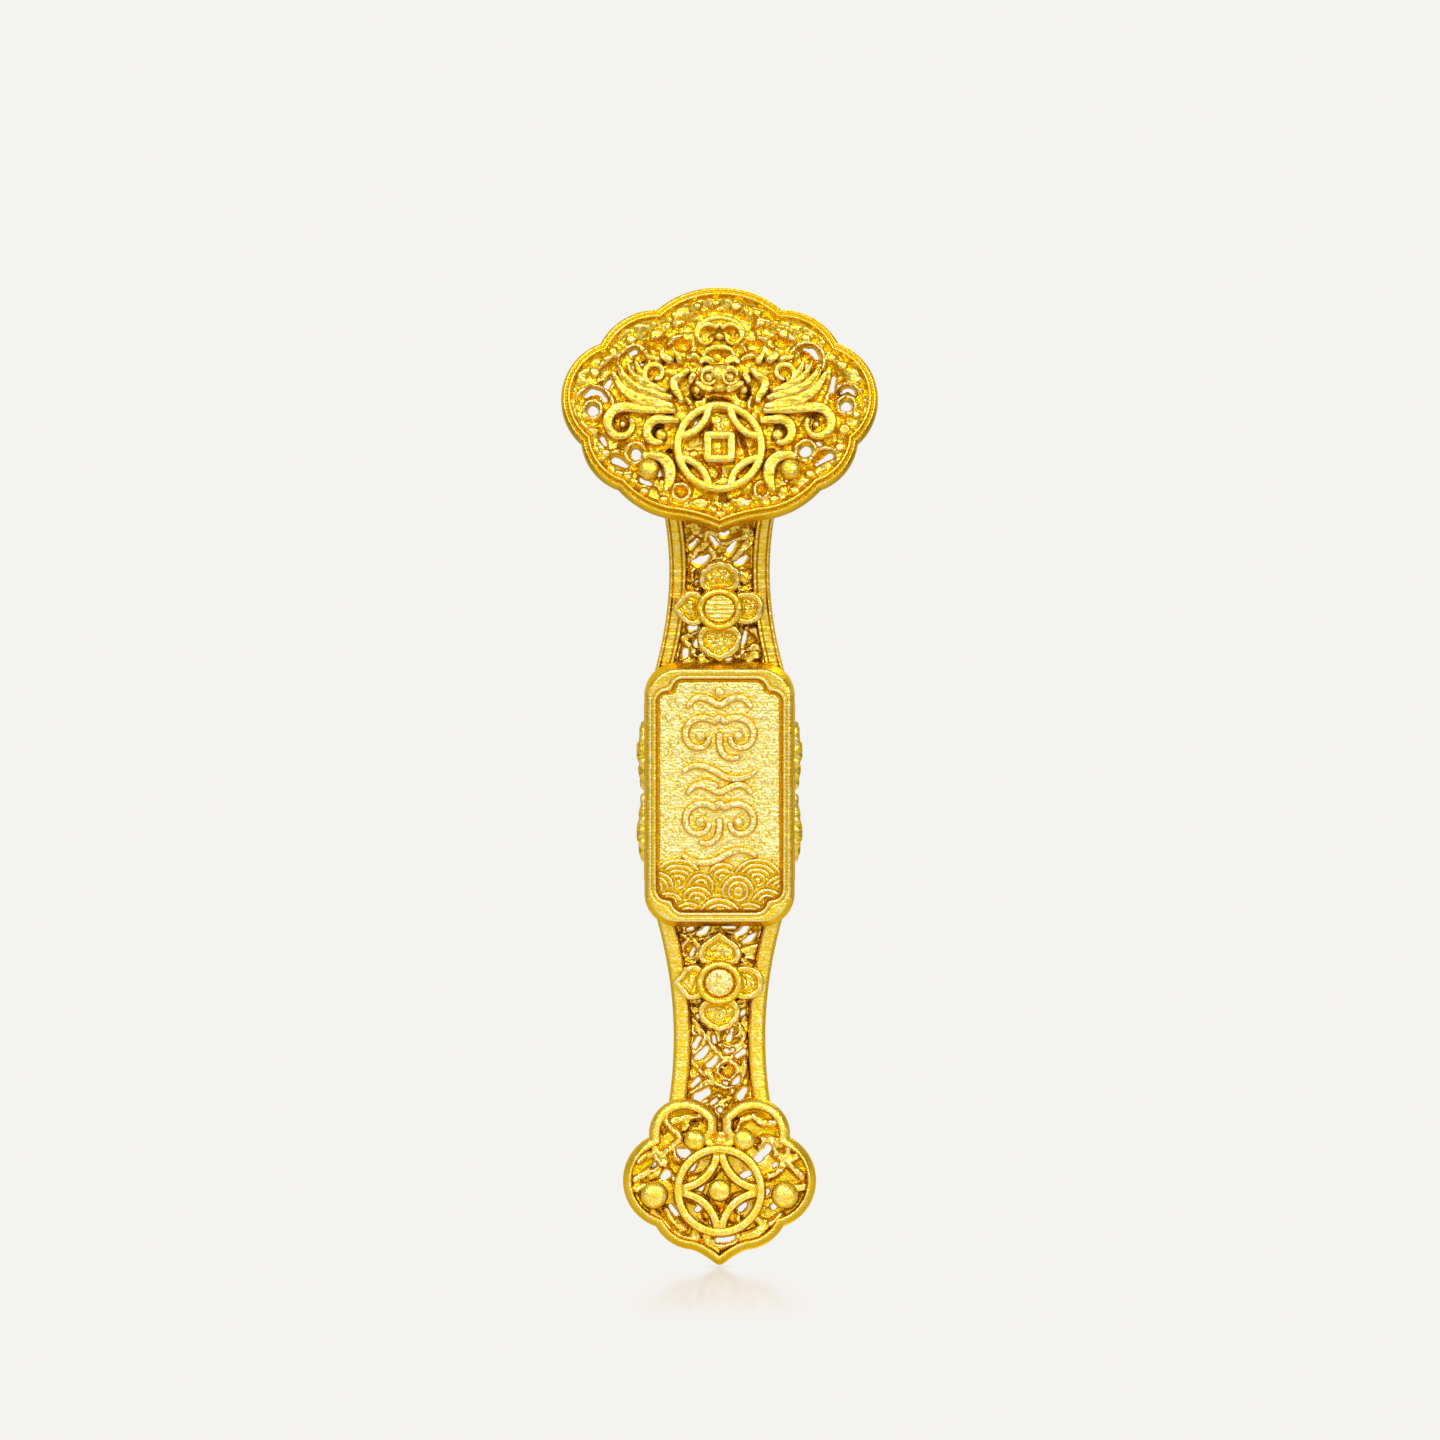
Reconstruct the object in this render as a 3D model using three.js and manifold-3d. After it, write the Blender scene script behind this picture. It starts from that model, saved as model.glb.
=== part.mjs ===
// Ruyi ornament in cast gold: a lobed cloud head, a stem of two rails with pierced scrollwork
// between them and a raised tablet at its middle, and a smaller cloud tail.
// Millimetres, +Z up along the stem, front towards -Y.
// The origin is on the flat back plate, behind the middle of the tablet.
import * as THREE from "three";
import { mergeVertices } from "three/addons/utils/BufferGeometryUtils.js";
import Module from "manifold-3d";

const wasm = await Module();
wasm.setup();

// Gap that solder fills between two pieces, and the longest facet on a curved outline
const seam = 0.3;
const facet = 2;

// Stem: widths across the front, reaches measured from the tablet's middle
const shoulderWidth = 15.5;
const shoulderReach = 9;
const upperWaist = 10.3;
const lowerWaist = 9.4;
const upperWaistReach = 23;
const lowerWaistReach = 25.5;
const stemDepth = 3.4;
const railWidth = 1.75;
const railRound = 0.5;
const upperEnd = 35;
const lowerEnd = 37;
const endBar = 1.2;
const tongueWidth = 9;
const upperWindowEnd = 30.5;
const lowerWindowEnd = 34.2;

// Stem seen from the side: both arms bend forward beyond the tablet, then run straight
const upperBendEnd = 31;
const lowerBendEnd = 30;
const upperBendRadius = 60;
const lowerBendRadius = 120;

// Pierced panels of the stem, each on a ledge inside its window
const ledgeWidth = 0.6;
const ledgeDepth = 0.7;
const panelDepth = 1.3;
const scrollPitch = 3.1;
const scrollEye = 0.5;
const scrollInner = 0.85;
const scrollOuter = 1.5;
const scrollOffset = 0.7;
const leafLength = 1.9;
const leafWidth = 0.85;

// Back plate over the well behind the tablet
const wellWall = 2.25;
const wellBar = 1.9;
const wellFloor = 1.4;
const backPlateRebate = 0.8;
const backPlateDepth = 0.8;
const backPlateCorner = 2.4;

// Tablet on the front of the stem
const tabletLength = 26.7;
const tabletSetIn = 0.05;
const windowLap = 0.95;
const tabletCorner = 3.4;
const tabletHeight = 2.6;
const tabletBevel = 0.9;
const frameSide = 1.25;
const frameEnd = 1.4;
const fieldCorner = 2.7;
const fieldDepth = 0.9;
const tabletPanelDepth = 0.55;
const reliefHeight = 0.45;
const waveRadius = 2.5;
const cloudStroke = 0.8;
const upperCloudPlace = 5.6;
const lowerCloudPlace = -2.2;
const cloudSpread = 2;

// Flower bosses on the stem
const upperFlowerGap = 1.25;
const lowerFlowerGap = 1.65;
const petalReach = 4.6;
const petalWidth = 3.7;
const petalDepth = 0.7;
const petalBorder = 0.55;
const petalSink = 0.3;
const flowerPeg = 1.1;
const bezelRadius = 2.3;
const bezelWall = 0.5;
const bezelHeight = 0.9;
const bossDome = 0.35;

// Floral sprays on the stem's sides, beside the tablet
const sprayReach = 4.2;
const sprayDepth = 2;
const sprayBack = 0.25;
const sprayRise = 0.75;
const sprayPetal = 1.45;

// Head: a cloud of nine lobes ending in a point, leaning back on the stem
const headWidth = 32.3;
const headHeight = 25;
const headPlace = 38.95;
const headTilt = THREE.MathUtils.degToRad(9);
const headRimDepth = 3.7;
const headRimWidth = 1.35;
const headLedgeWidth = 0.6;
const headLedgeDepth = 1.1;
const headPlateDepth = 1.2;
const headPiercing = 1.4;
const headReliefHeight = 1.2;
const headCloudDrop = 5;
const headCloudSpread = 1.35;
const headCloudStroke = 0.8;
const coinRadius = 4.3;
const coinRise = 8.4;
const coinStroke = 0.85;
const coinSquare = 2.3;
const ribbonRadius = 2;
const ribbonStroke = 0.95;
const curlRadius = 1.35;
const curlStroke = 1.25;
const saddleWidth = 5.6;
const saddleClear = 3.7;
const saddleLength = 3.8;
const saddleDepth = 0.4;

// Tail: a smaller cloud with two curls at its top, lying on the stem's lower end
const tailWidth = 19.8;
const tailHeight = 17;
const tailReach = 41.3;
const tailRimDepth = 2.6;
const tailRimWidth = 1.05;
const tailLedgeWidth = 0.5;
const tailLedgeDepth = 0.7;
const tailPlateDepth = 1;
const tailPiercing = 0.95;
const medallionRadius = 4.65;
const medallionStroke = 0.72;
const medallionHeight = 1.2;
const sideBeadRadius = 1.28;
const curlBeadRadius = 0.9;

// Sizes that follow from others: the tablet is nearly flush with the stem's sides and laps over both
// windows, the stem stays flat behind it and a facet beyond, and each flower stands clear of its end
const tabletWidth = shoulderWidth - 2 * tabletSetIn;
const fieldWidth = tabletWidth - 2 * frameSide;
const fieldLength = tabletLength - 2 * frameEnd;
const windowStart = tabletLength / 2 - windowLap;
const wellWidth = shoulderWidth - 2 * wellWall;
const wellLength = 2 * (windowStart - wellBar);
const bendStart = tabletLength / 2 + facet;
const flowerRoot = tabletLength / 2 + petalReach;

// The coin and the saddle are set from the head's point, the small cloud from its crown
const coinPlace = coinRise - headHeight / 2;
const saddleTop = headHeight / 2 - saddleClear - saddleLength;
const headCloudPlace = headHeight / 2 - headCloudDrop;

// Gold finishes, one for each way that the castings were worked
const finishes = {
  satin: { color: 0xe8b21e, roughness: 0.42, metalness: 1 },
  bright: { color: 0xf0bf2c, roughness: 0.28, metalness: 1 },
  cast: { color: 0xd9a116, roughness: 0.5, metalness: 1 },
  stippled: { color: 0xf2c83e, roughness: 0.55, metalness: 1 },
};

// Geometry to solid and back, for joins and cuts
function toSolid(geometry) {
  const bare = new THREE.BufferGeometry();
  bare.setAttribute("position", geometry.getAttribute("position").clone());
  if (geometry.index) bare.setIndex(geometry.index.clone());
  const merged = mergeVertices(bare, 1e-4);
  return new wasm.Manifold(
    new wasm.Mesh({
      numProp: 3,
      vertProperties: new Float32Array(merged.attributes.position.array),
      triVerts: new Uint32Array(merged.index.array),
    }),
  );
}

function toGeometry(solid) {
  const mesh = solid.getMesh();
  const geometry = new THREE.BufferGeometry();
  geometry.setAttribute("position", new THREE.BufferAttribute(mesh.vertProperties, 3));
  geometry.setIndex(new THREE.BufferAttribute(mesh.triVerts, 1));
  return geometry;
}

const join = (...geometries) =>
  toGeometry(geometries.map(toSolid).reduce((whole, next) => whole.add(next)));

const cut = (geometry, ...tools) =>
  toGeometry(tools.map(toSolid).reduce((whole, tool) => whole.subtract(tool), toSolid(geometry)));

const common = (first, second) => toGeometry(toSolid(first).intersect(toSolid(second)));

// A closed surface from rings of points; its faces are turned outwards by the sign of its volume
function closedSurface(points, faces) {
  const at = (i) => points[i];
  let volume = 0;
  for (const [a, b, c] of faces) volume += at(a).dot(at(b).clone().cross(at(c)));
  const index = faces.flatMap(([a, b, c]) => (volume < 0 ? [a, c, b] : [a, b, c]));
  const geometry = new THREE.BufferGeometry().setFromPoints(points);
  geometry.setIndex(index);
  return geometry;
}

const quad = (a, b, c, d) => [
  [a, b, c],
  [a, c, d],
];

// Points after "from" up to "to" on an arc that rises by bulge times its chord, to the left of its travel
function arcStretch(from, to, bulge) {
  if (bulge === 0) return [to];
  const chord = to.clone().sub(from);
  const length = chord.length();
  const rise = bulge * length;
  const left = new THREE.Vector2(-chord.y, chord.x).divideScalar(length);
  const turn = 4 * Math.atan(2 * bulge);
  const steps = Math.max(1, Math.ceil((length + 2 * Math.abs(rise)) / facet));
  const radius = (length * length) / (8 * rise) + rise / 2;
  const centre = from.clone().lerp(to, 0.5).addScaledVector(left, rise - radius);
  const spoke = from.clone().sub(centre);
  return Array.from({ length: steps }, (_, i) =>
    spoke.clone().rotateAround(new THREE.Vector2(), (-turn * (i + 1)) / steps).add(centre),
  );
}

// A closed outline, anticlockwise, from the lobes of its right half read from top to bottom
function mirroredOutline(start, lobes) {
  const right = [new THREE.Vector2(...start)];
  for (const [x, y, bulge] of lobes) {
    right.push(...arcStretch(right.at(-1), new THREE.Vector2(x, y), bulge));
  }
  const left = right.slice(1, -1).map((p) => new THREE.Vector2(-p.x, p.y));
  return [...left, ...[right.at(-1)], ...right.slice(0, -1).reverse()];
}

// The outline moved inwards by a distance, with its sharpest corners held to a short mitre
const longestMitre = 1.7;
function inset(outline, distance) {
  return outline.map((point, i) => {
    const before = outline.at(i - 1);
    const after = outline[(i + 1) % outline.length];
    const first = point.clone().sub(before).normalize();
    const second = after.clone().sub(point).normalize();
    const middle = first.clone().add(second).normalize();
    const mitre = Math.min(1 / Math.max(middle.dot(first), 0.1), longestMitre);
    return point.clone().add(new THREE.Vector2(-middle.y, middle.x).multiplyScalar(distance * mitre));
  });
}

// A ring whose cross-section, given as [distance in from the outline, height], follows the outline
function rimAlong(outline, section) {
  const rings = section.map(([distance, height]) =>
    inset(outline, distance).map((p) => new THREE.Vector3(p.x, p.y, height)),
  );
  const count = outline.length;
  const faces = rings.flatMap((_, j) =>
    outline.flatMap((__, i) => {
      const nextRing = ((j + 1) % rings.length) * count;
      const next = (i + 1) % count;
      return quad(j * count + i, j * count + next, nextRing + next, nextRing + i);
    }),
  );
  return closedSurface(rings.flat(), faces);
}

// A stroke with a rounded back along a flat path, its ends drawn in; width may change along it
const strokeSection = [
  [-0.5, 0],
  [-0.46, 0.5],
  [0, 1],
  [0.46, 0.5],
  [0.5, 0],
];
function stroke(path, widthAt, height) {
  const last = path.length - 1;
  const points = path.flatMap((p, i) => {
    const along = path[Math.min(i + 1, last)].clone().sub(path[Math.max(i - 1, 0)]).normalize();
    const width = typeof widthAt === "function" ? widthAt(i / last) : widthAt;
    const drawn = i === 0 || i === last ? 0.6 : 1;
    return strokeSection.map(
      ([across, up]) =>
        new THREE.Vector3(
          p.x - along.y * across * width * drawn,
          p.y + along.x * across * width * drawn,
          up * height * drawn,
        ),
    );
  });
  const sides = strokeSection.length;
  const faces = [];
  for (let i = 0; i < last; i++) {
    for (let j = 0; j < sides; j++) {
      const next = (j + 1) % sides;
      faces.push(...quad(i * sides + j, i * sides + next, (i + 1) * sides + next, (i + 1) * sides + j));
    }
  }
  for (let j = 1; j < sides - 1; j++) {
    faces.push([0, j + 1, j]);
    faces.push([last * sides, last * sides + j, last * sides + j + 1]);
  }
  return closedSurface(points, faces);
}

// Points of a spiral from one radius to another, turning by sweep
function spiral(centre, radii, startAngle, sweep, steps) {
  return Array.from({ length: steps + 1 }, (_, i) => {
    const t = i / steps;
    const radius = THREE.MathUtils.lerp(radii[0], radii[1], t);
    const angle = startAngle + sweep * t;
    return new THREE.Vector2(centre[0] + radius * Math.cos(angle), centre[1] + radius * Math.sin(angle));
  });
}

const mirrorPath = (path, side) => path.map((p) => new THREE.Vector2(side * p.x, p.y));

// A plate with rounded edges and pierced holes, from height 0 up to its depth
function plate(outline, depth, { holes = [], round = 0, roundSteps = 2 } = {}) {
  const shape = new THREE.Shape(outline);
  shape.holes = holes.map((hole) => new THREE.Path(hole));
  const geometry = new THREE.ExtrudeGeometry(shape, {
    depth: depth - 2 * round,
    steps: 1,
    bevelEnabled: round > 0,
    bevelThickness: round,
    bevelSize: round,
    bevelOffset: -round,
    bevelSegments: roundSteps,
  });
  return geometry.translate(0, 0, round);
}

function roundedRectangle(width, length, corner) {
  const x = width / 2;
  const y = length / 2;
  const quarter = (Math.SQRT2 - 1) / 2;
  const points = mirroredOutline([0, y], [
    [x - corner, y, 0],
    [x, y - corner, quarter],
    [x, corner - y, 0],
    [x - corner, -y, quarter],
    [0, -y, 0],
  ]);
  return points;
}

// A turned piece about the height axis, from a closed profile of [radius, height]
function turned(profile, sides) {
  const points = [...profile, profile[0]].map(([r, h]) => new THREE.Vector2(r, h));
  return new THREE.LatheGeometry(points, sides).rotateX(Math.PI / 2);
}

const circle = (x, y, radius, sides) =>
  Array.from({ length: sides }, (_, i) => {
    const angle = (2 * Math.PI * i) / sides;
    return new THREE.Vector2(x + radius * Math.cos(angle), y + radius * Math.sin(angle));
  });

// A crescent hole between two radii about a centre, pointed at both ends
function crescent(centre, inner, outer, startAngle, sweep, steps) {
  const edge = (i, swell) => {
    const t = i / steps;
    const angle = startAngle + sweep * t;
    const radius = (inner + outer) / 2 + (swell * (outer - inner) * Math.sin(Math.PI * t)) / 2;
    return new THREE.Vector2(centre[0] + radius * Math.cos(angle), centre[1] + radius * Math.sin(angle));
  };
  const there = Array.from({ length: steps + 1 }, (_, i) => edge(i, 1));
  const back = Array.from({ length: steps - 1 }, (_, i) => edge(steps - 1 - i, -1));
  return [...there, ...back];
}

// A pointed oval hole
function leafHole(centre, length, width, angle) {
  const axis = new THREE.Vector2(Math.cos(angle), Math.sin(angle));
  return [-1, -0.45, 0.45, 1, 0.45, -0.45].map((along, i) => {
    const side = i === 0 || i === 3 ? 0 : i < 3 ? -1 : 1;
    const x = centre[0] + (axis.x * along * length) / 2 - (axis.y * side * width) / 2;
    const y = centre[1] + (axis.y * along * length) / 2 + (axis.x * side * width) / 2;
    return new THREE.Vector2(x, y);
  });
}

// A point of the stem: x across, s along it from the tablet's middle, h forward of its back
function bendAngle(s) {
  const [end, radius] = s > 0 ? [upperBendEnd, upperBendRadius] : [lowerBendEnd, lowerBendRadius];
  return THREE.MathUtils.clamp(Math.abs(s) - bendStart, 0, end - bendStart) / radius;
}

function stemPoint(x, s, h) {
  const [end, radius] = s > 0 ? [upperBendEnd, upperBendRadius] : [lowerBendEnd, lowerBendRadius];
  const angle = bendAngle(s);
  const straight = Math.max(Math.abs(s) - end, 0);
  const forward = radius * (1 - Math.cos(angle)) + straight * Math.sin(angle);
  const reach =
    Math.min(Math.abs(s), bendStart) + radius * Math.sin(angle) + straight * Math.cos(angle);
  return new THREE.Vector3(
    x,
    -forward - h * Math.cos(angle),
    Math.sign(s) * (reach - h * Math.sin(angle)),
  );
}

// Takes a piece that was built flat, as (x, s, h), on to the bent stem
function bend(geometry) {
  const position = geometry.getAttribute("position");
  for (let i = 0; i < position.count; i++) {
    const p = stemPoint(position.getX(i), position.getY(i), position.getZ(i));
    position.setXYZ(i, p.x, p.y, p.z);
  }
  return geometry;
}

// Half the stem's width: a parabola about each waist, level beside the tablet, and a tongue at each end
function stemHalfWidth(s) {
  const [waist, waistReach, windowEnd, end] =
    s > 0
      ? [upperWaist, upperWaistReach, upperWindowEnd, upperEnd]
      : [lowerWaist, lowerWaistReach, lowerWindowEnd, lowerEnd];
  const rise = (shoulderWidth - waist) / 2 / (waistReach - shoulderReach) ** 2;
  const along = Math.max(Math.abs(s), shoulderReach);
  const flared = waist / 2 + rise * (Math.min(along, windowEnd) - waistReach) ** 2;
  const root = windowEnd + endBar;
  const towardsTongue = THREE.MathUtils.clamp((along - root) / (end - root), 0, 1);
  return THREE.MathUtils.lerp(flared, tongueWidth / 2, towardsTongue);
}

// Even stations from one place on the stem up to another
function stationsBetween(from, to) {
  const steps = Math.ceil((to - from) / facet);
  return Array.from({ length: steps + 1 }, (_, i) => THREE.MathUtils.lerp(from, to, i / steps));
}

// Right edge of a strip up the stem, then its left edge down
function stemStrip(stations, halfWidth) {
  const right = stations.map((s) => new THREE.Vector2(halfWidth(s), s));
  return [...right, ...right.map((p) => new THREE.Vector2(-p.x, p.y)).reverse()];
}

const arms = [
  { name: "upper", side: 1, windowEnd: upperWindowEnd, flowerReach: flowerRoot + upperFlowerGap },
  { name: "lower", side: -1, windowEnd: lowerWindowEnd, flowerReach: flowerRoot + lowerFlowerGap },
];

// Stations along one arm from near the tablet out to its end, with one where the bend starts
function armStations(side, near, far) {
  const flat = stationsBetween(near, bendStart);
  const out = [...flat, ...stationsBetween(bendStart, far).slice(1)];
  return side > 0 ? out : out.map((s) => -s).reverse();
}

// A stem window grown or shrunk all round
function stemWindow({ side, windowEnd }, margin) {
  const halfWidth = (s) => stemHalfWidth(s) - railWidth + margin;
  return stemStrip(armStations(side, windowStart - margin, windowEnd + margin), halfWidth);
}

function stemFrame() {
  const lower = armStations(-1, shoulderReach, lowerEnd);
  const upper = armStations(1, shoulderReach, upperEnd);
  const outline = stemStrip([...lower, ...upper], stemHalfWidth);
  const windows = arms.map((arm) => stemWindow(arm, 0));
  const rails = plate(outline, stemDepth, { holes: windows, round: railRound, roundSteps: 1 });
  const ledges = arms.map((arm) =>
    plate(stemWindow(arm, ledgeDepth), ledgeDepth, { holes: [stemWindow(arm, -ledgeWidth)] }),
  );
  const well = plate(roundedRectangle(wellWidth, wellLength, backPlateCorner), stemDepth - wellFloor);
  const rebate = plate(
    roundedRectangle(
      wellWidth + 2 * backPlateRebate,
      wellLength + 2 * backPlateRebate,
      backPlateCorner + backPlateRebate,
    ),
    backPlateDepth + seam,
  ).translate(0, 0, -seam);
  return bend(cut(join(rails, ...ledges), well, rebate));
}

function backPlate() {
  const lap = backPlateRebate - seam;
  const outline = roundedRectangle(wellWidth + 2 * lap, wellLength + 2 * lap, backPlateCorner + lap);
  return bend(plate(outline, backPlateDepth));
}

// Scroll piercings: an eye, a crescent round it and a leaf on the other side, swapping sides in turn
function scrollHoles(from, to, side) {
  const count = Math.max(1, Math.round(Math.abs(to - from) / scrollPitch));
  return Array.from({ length: count }, (_, i) => {
    const s = THREE.MathUtils.lerp(from, to, (i + 0.5) / count);
    const hand = i % 2 ? side : -side;
    const centre = [hand * scrollOffset, s];
    const open = hand > 0 ? -0.55 * Math.PI : 0.45 * Math.PI;
    const leafX = -hand * (stemHalfWidth(s) - railWidth - seam - leafWidth - 0.1);
    return [
      circle(...centre, scrollEye, 6),
      crescent(centre, scrollInner, scrollOuter, open, 1.1 * Math.PI, 6),
      leafHole([leafX, s], leafLength, leafWidth, 0.5 * Math.PI + 0.25 * hand),
    ];
  }).flat();
}

function stemPanel(arm) {
  const land = flowerPeg + scrollOuter;
  const holes = [
    ...scrollHoles(arm.side * (windowStart + seam), arm.side * (arm.flowerReach - land), arm.side),
    ...scrollHoles(arm.side * (arm.flowerReach + land), arm.side * (arm.windowEnd - seam), arm.side),
  ];
  const panel = plate(stemWindow(arm, -seam), panelDepth, { holes });
  return bend(panel.translate(0, 0, ledgeDepth + seam));
}

// Tablet: a frame with a rounded front edge and a sunk field with indented corners
function fieldOutline(margin) {
  const x = fieldWidth / 2 - margin;
  const y = fieldLength / 2 - margin;
  const step = fieldCorner / 2;
  const corner = [
    [x - fieldCorner, y, 0],
    [x - step, y - step, 0.22],
    [x, y - fieldCorner, 0.22],
  ];
  const below = [
    [x, fieldCorner - y, 0],
    [x - step, step - y, 0.22],
    [x - fieldCorner, -y, 0.22],
  ];
  return mirroredOutline([0, y], [...corner, ...below, [0, -y, 0]]);
}

function tabletFrame() {
  const outline = roundedRectangle(tabletWidth, tabletLength, tabletCorner);
  const base = plate(outline, tabletHeight - tabletBevel);
  const crownDepth = tabletHeight - 0.1;
  const crown = plate(outline, crownDepth, { round: tabletBevel }).translate(0, 0, tabletHeight - crownDepth);
  const field = plate(fieldOutline(0), fieldDepth + 1).translate(0, 0, tabletHeight - fieldDepth);
  return bend(cut(join(base, crown), field).translate(0, 0, stemDepth));
}

const fieldFloor = stemDepth + tabletHeight - fieldDepth;
const panelFront = fieldFloor + tabletPanelDepth;

const tabletPanel = () => bend(plate(fieldOutline(seam), tabletPanelDepth).translate(0, 0, fieldFloor));

// Rolling waves: rows of ridged discs, each row lying over the one behind it
function tabletWaves() {
  const bottom = -fieldLength / 2;
  const low = 0.45 * reliefHeight;
  const ridges = [
    [0, 0],
    [waveRadius, 0],
    [waveRadius, reliefHeight],
    [0.68 * waveRadius, reliefHeight],
    [0.62 * waveRadius, low],
    [0.42 * waveRadius, low],
    [0.36 * waveRadius, reliefHeight],
    [0, reliefHeight],
  ];
  const rows = [
    { rise: 0.95, places: [-2, 0, 2] },
    { rise: 0.5, places: [-1, 1] },
    { rise: 0.05, places: [-2, 0, 2] },
  ];
  let waves = null;
  for (const { rise, places } of rows) {
    for (const place of places) {
      const move = (piece) => piece.translate(place * waveRadius, bottom + rise * waveRadius, 0);
      const disc = toSolid(move(turned(ridges, 16)));
      const clear = toSolid(move(turned([[0, -1], [waveRadius, -1], [waveRadius, 1], [0, 1]], 16)));
      waves = waves ? waves.subtract(clear).add(disc) : disc;
    }
  }
  const within = plate(fieldOutline(2 * seam), reliefHeight + 1).translate(0, 0, -0.5);
  return bend(common(toGeometry(waves), within).translate(0, 0, panelFront));
}

// A cloud drawn in one stroke: a volute on each side, joined over the top
function cloudPath(spread, place) {
  const centre = [spread, place];
  const radii = [spread * 1.05, spread * 0.42];
  const right = spiral(centre, radii, 0.75 * Math.PI, -1.75 * Math.PI, 13);
  const crown = new THREE.Vector2(0, place + spread);
  return [...mirrorPath(right, -1).reverse(), crown, ...right];
}

const tabletCloud = (place) =>
  bend(stroke(cloudPath(cloudSpread, place), cloudStroke, reliefHeight).translate(0, 0, panelFront));

// Flower: four pointed petals with sunk fields about a peg, then a bezel and its boss on top
function petalOutline(margin) {
  const half = petalWidth / 2 - margin;
  const tip = petalReach - 1.6 * margin;
  const shoulder = petalReach - petalWidth / 2;
  return mirroredOutline([0, tip], [
    [0.42 * half, tip - 0.35 * half, -0.08],
    [half, shoulder, 0.2],
    [0.55 * half, bezelRadius - bezelWall + margin, 0.12],
    [0, bezelRadius - bezelWall + margin, 0],
  ]);
}

function flowerPetals() {
  const pegLength = stemDepth + seam - (ledgeDepth + seam + panelDepth + seam);
  const hub = turned([[0, 0], [bezelRadius, 0], [bezelRadius, petalDepth], [0, petalDepth]], 16);
  const peg = turned([[0, -pegLength], [flowerPeg, -pegLength], [flowerPeg, 0.2], [0, 0.2]], 8);
  const petals = [0, 1, 2, 3].map((i) =>
    cut(
      plate(petalOutline(0), petalDepth, { round: 0.15, roundSteps: 1 }),
      plate(petalOutline(petalBorder), 1).translate(0, 0, petalDepth - petalSink),
    ).rotateZ((i * Math.PI) / 2),
  );
  return join(hub, peg, ...petals);
}

function flowerBezel() {
  const inner = bezelRadius - bezelWall - seam / 2;
  return turned(
    [
      [inner, 0],
      [bezelRadius, 0],
      [bezelRadius, 0.55 * bezelHeight],
      [bezelRadius - 0.3 * bezelWall, 0.9 * bezelHeight],
      [bezelRadius - 0.7 * bezelWall, bezelHeight],
      [inner, 0.6 * bezelHeight],
    ],
    16,
  );
}

function flowerBoss() {
  const radius = bezelRadius - bezelWall - 1.5 * seam;
  const profile = [[0, 0], [radius, 0], [radius, bezelHeight - bossDome]];
  const dome = [0.6 * radius, bezelHeight - 0.36 * bossDome];
  return turned([...profile, dome, [0, bezelHeight]], 16);
}

// Side spray: two trefoils on a narrow backing, lying against the stem's flat side
function sideSpray(side) {
  const halfLength = sprayReach + 2 * sprayPetal;
  const backing = plate(
    mirroredOutline([0, halfLength], [
      [sprayDepth / 2, halfLength - sprayDepth / 2, 0.2],
      [sprayDepth / 2, sprayDepth / 2 - halfLength, 0],
      [0, -halfLength, 0.2],
    ]),
    sprayBack,
  );
  const petal = (along, length, rise) => {
    const bud = turned([[0, 0], [1, 0], [0.7, 0.7], [0, 1]], 8);
    return bud.scale(0.46 * sprayDepth, length / 2, rise).translate(0, along, 0.5 * sprayBack);
  };
  const trefoils = [-1, 1].flatMap((side) => [
    petal(side * sprayReach, sprayPetal, sprayRise - 0.5 * sprayBack),
    petal(side * (sprayReach - 1.05 * sprayPetal), sprayPetal, 0.6 * sprayRise),
    petal(side * (sprayReach + 1.05 * sprayPetal), 1.2 * sprayPetal, 0.5 * sprayRise),
  ]);
  const place = new THREE.Matrix4().makeBasis(
    new THREE.Vector3(0, side, 0),
    new THREE.Vector3(0, 0, 1),
    new THREE.Vector3(side, 0, 0),
  );
  place.setPosition((side * shoulderWidth) / 2, -stemDepth / 2, 0);
  return join(backing, ...trefoils).applyMatrix4(place);
}

// Head outline: crown, shoulders, sides and skirts, drawn to a point below
function headOutline() {
  const x = headWidth / 2;
  const y = headHeight / 2;
  return mirroredOutline([0, y], [
    [0.395 * x, 0.816 * y, 0.093],
    [0.753 * x, 0.538 * y, 0.14],
    [0.873 * x, -0.28 * y, 0.285],
    [0.638 * x, -0.655 * y, 0.14],
    [0.284 * x, -0.896 * y, 0.09],
    [0, -y, -0.04],
  ]);
}

function rimSection(depth, width, ledgeWide, ledgeDeep) {
  return [
    [0, 0],
    [0, depth - 0.65 * width],
    [0.25 * width, depth - 0.25 * width],
    [0.6 * width, depth - 0.15 * width],
    [0.75 * width, depth],
    [width, depth - 0.15 * width],
    [width, ledgeDeep],
    [width + ledgeWide, ledgeDeep],
    [width + ledgeWide, 0],
  ];
}

const headRim = () =>
  rimAlong(headOutline(), rimSection(headRimDepth, headRimWidth, headLedgeWidth, headLedgeDepth));

const headPlateBack = headLedgeDepth + seam;
const headPlateFront = headPlateBack + headPlateDepth;
const headReliefBack = headPlateFront + seam;

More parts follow.
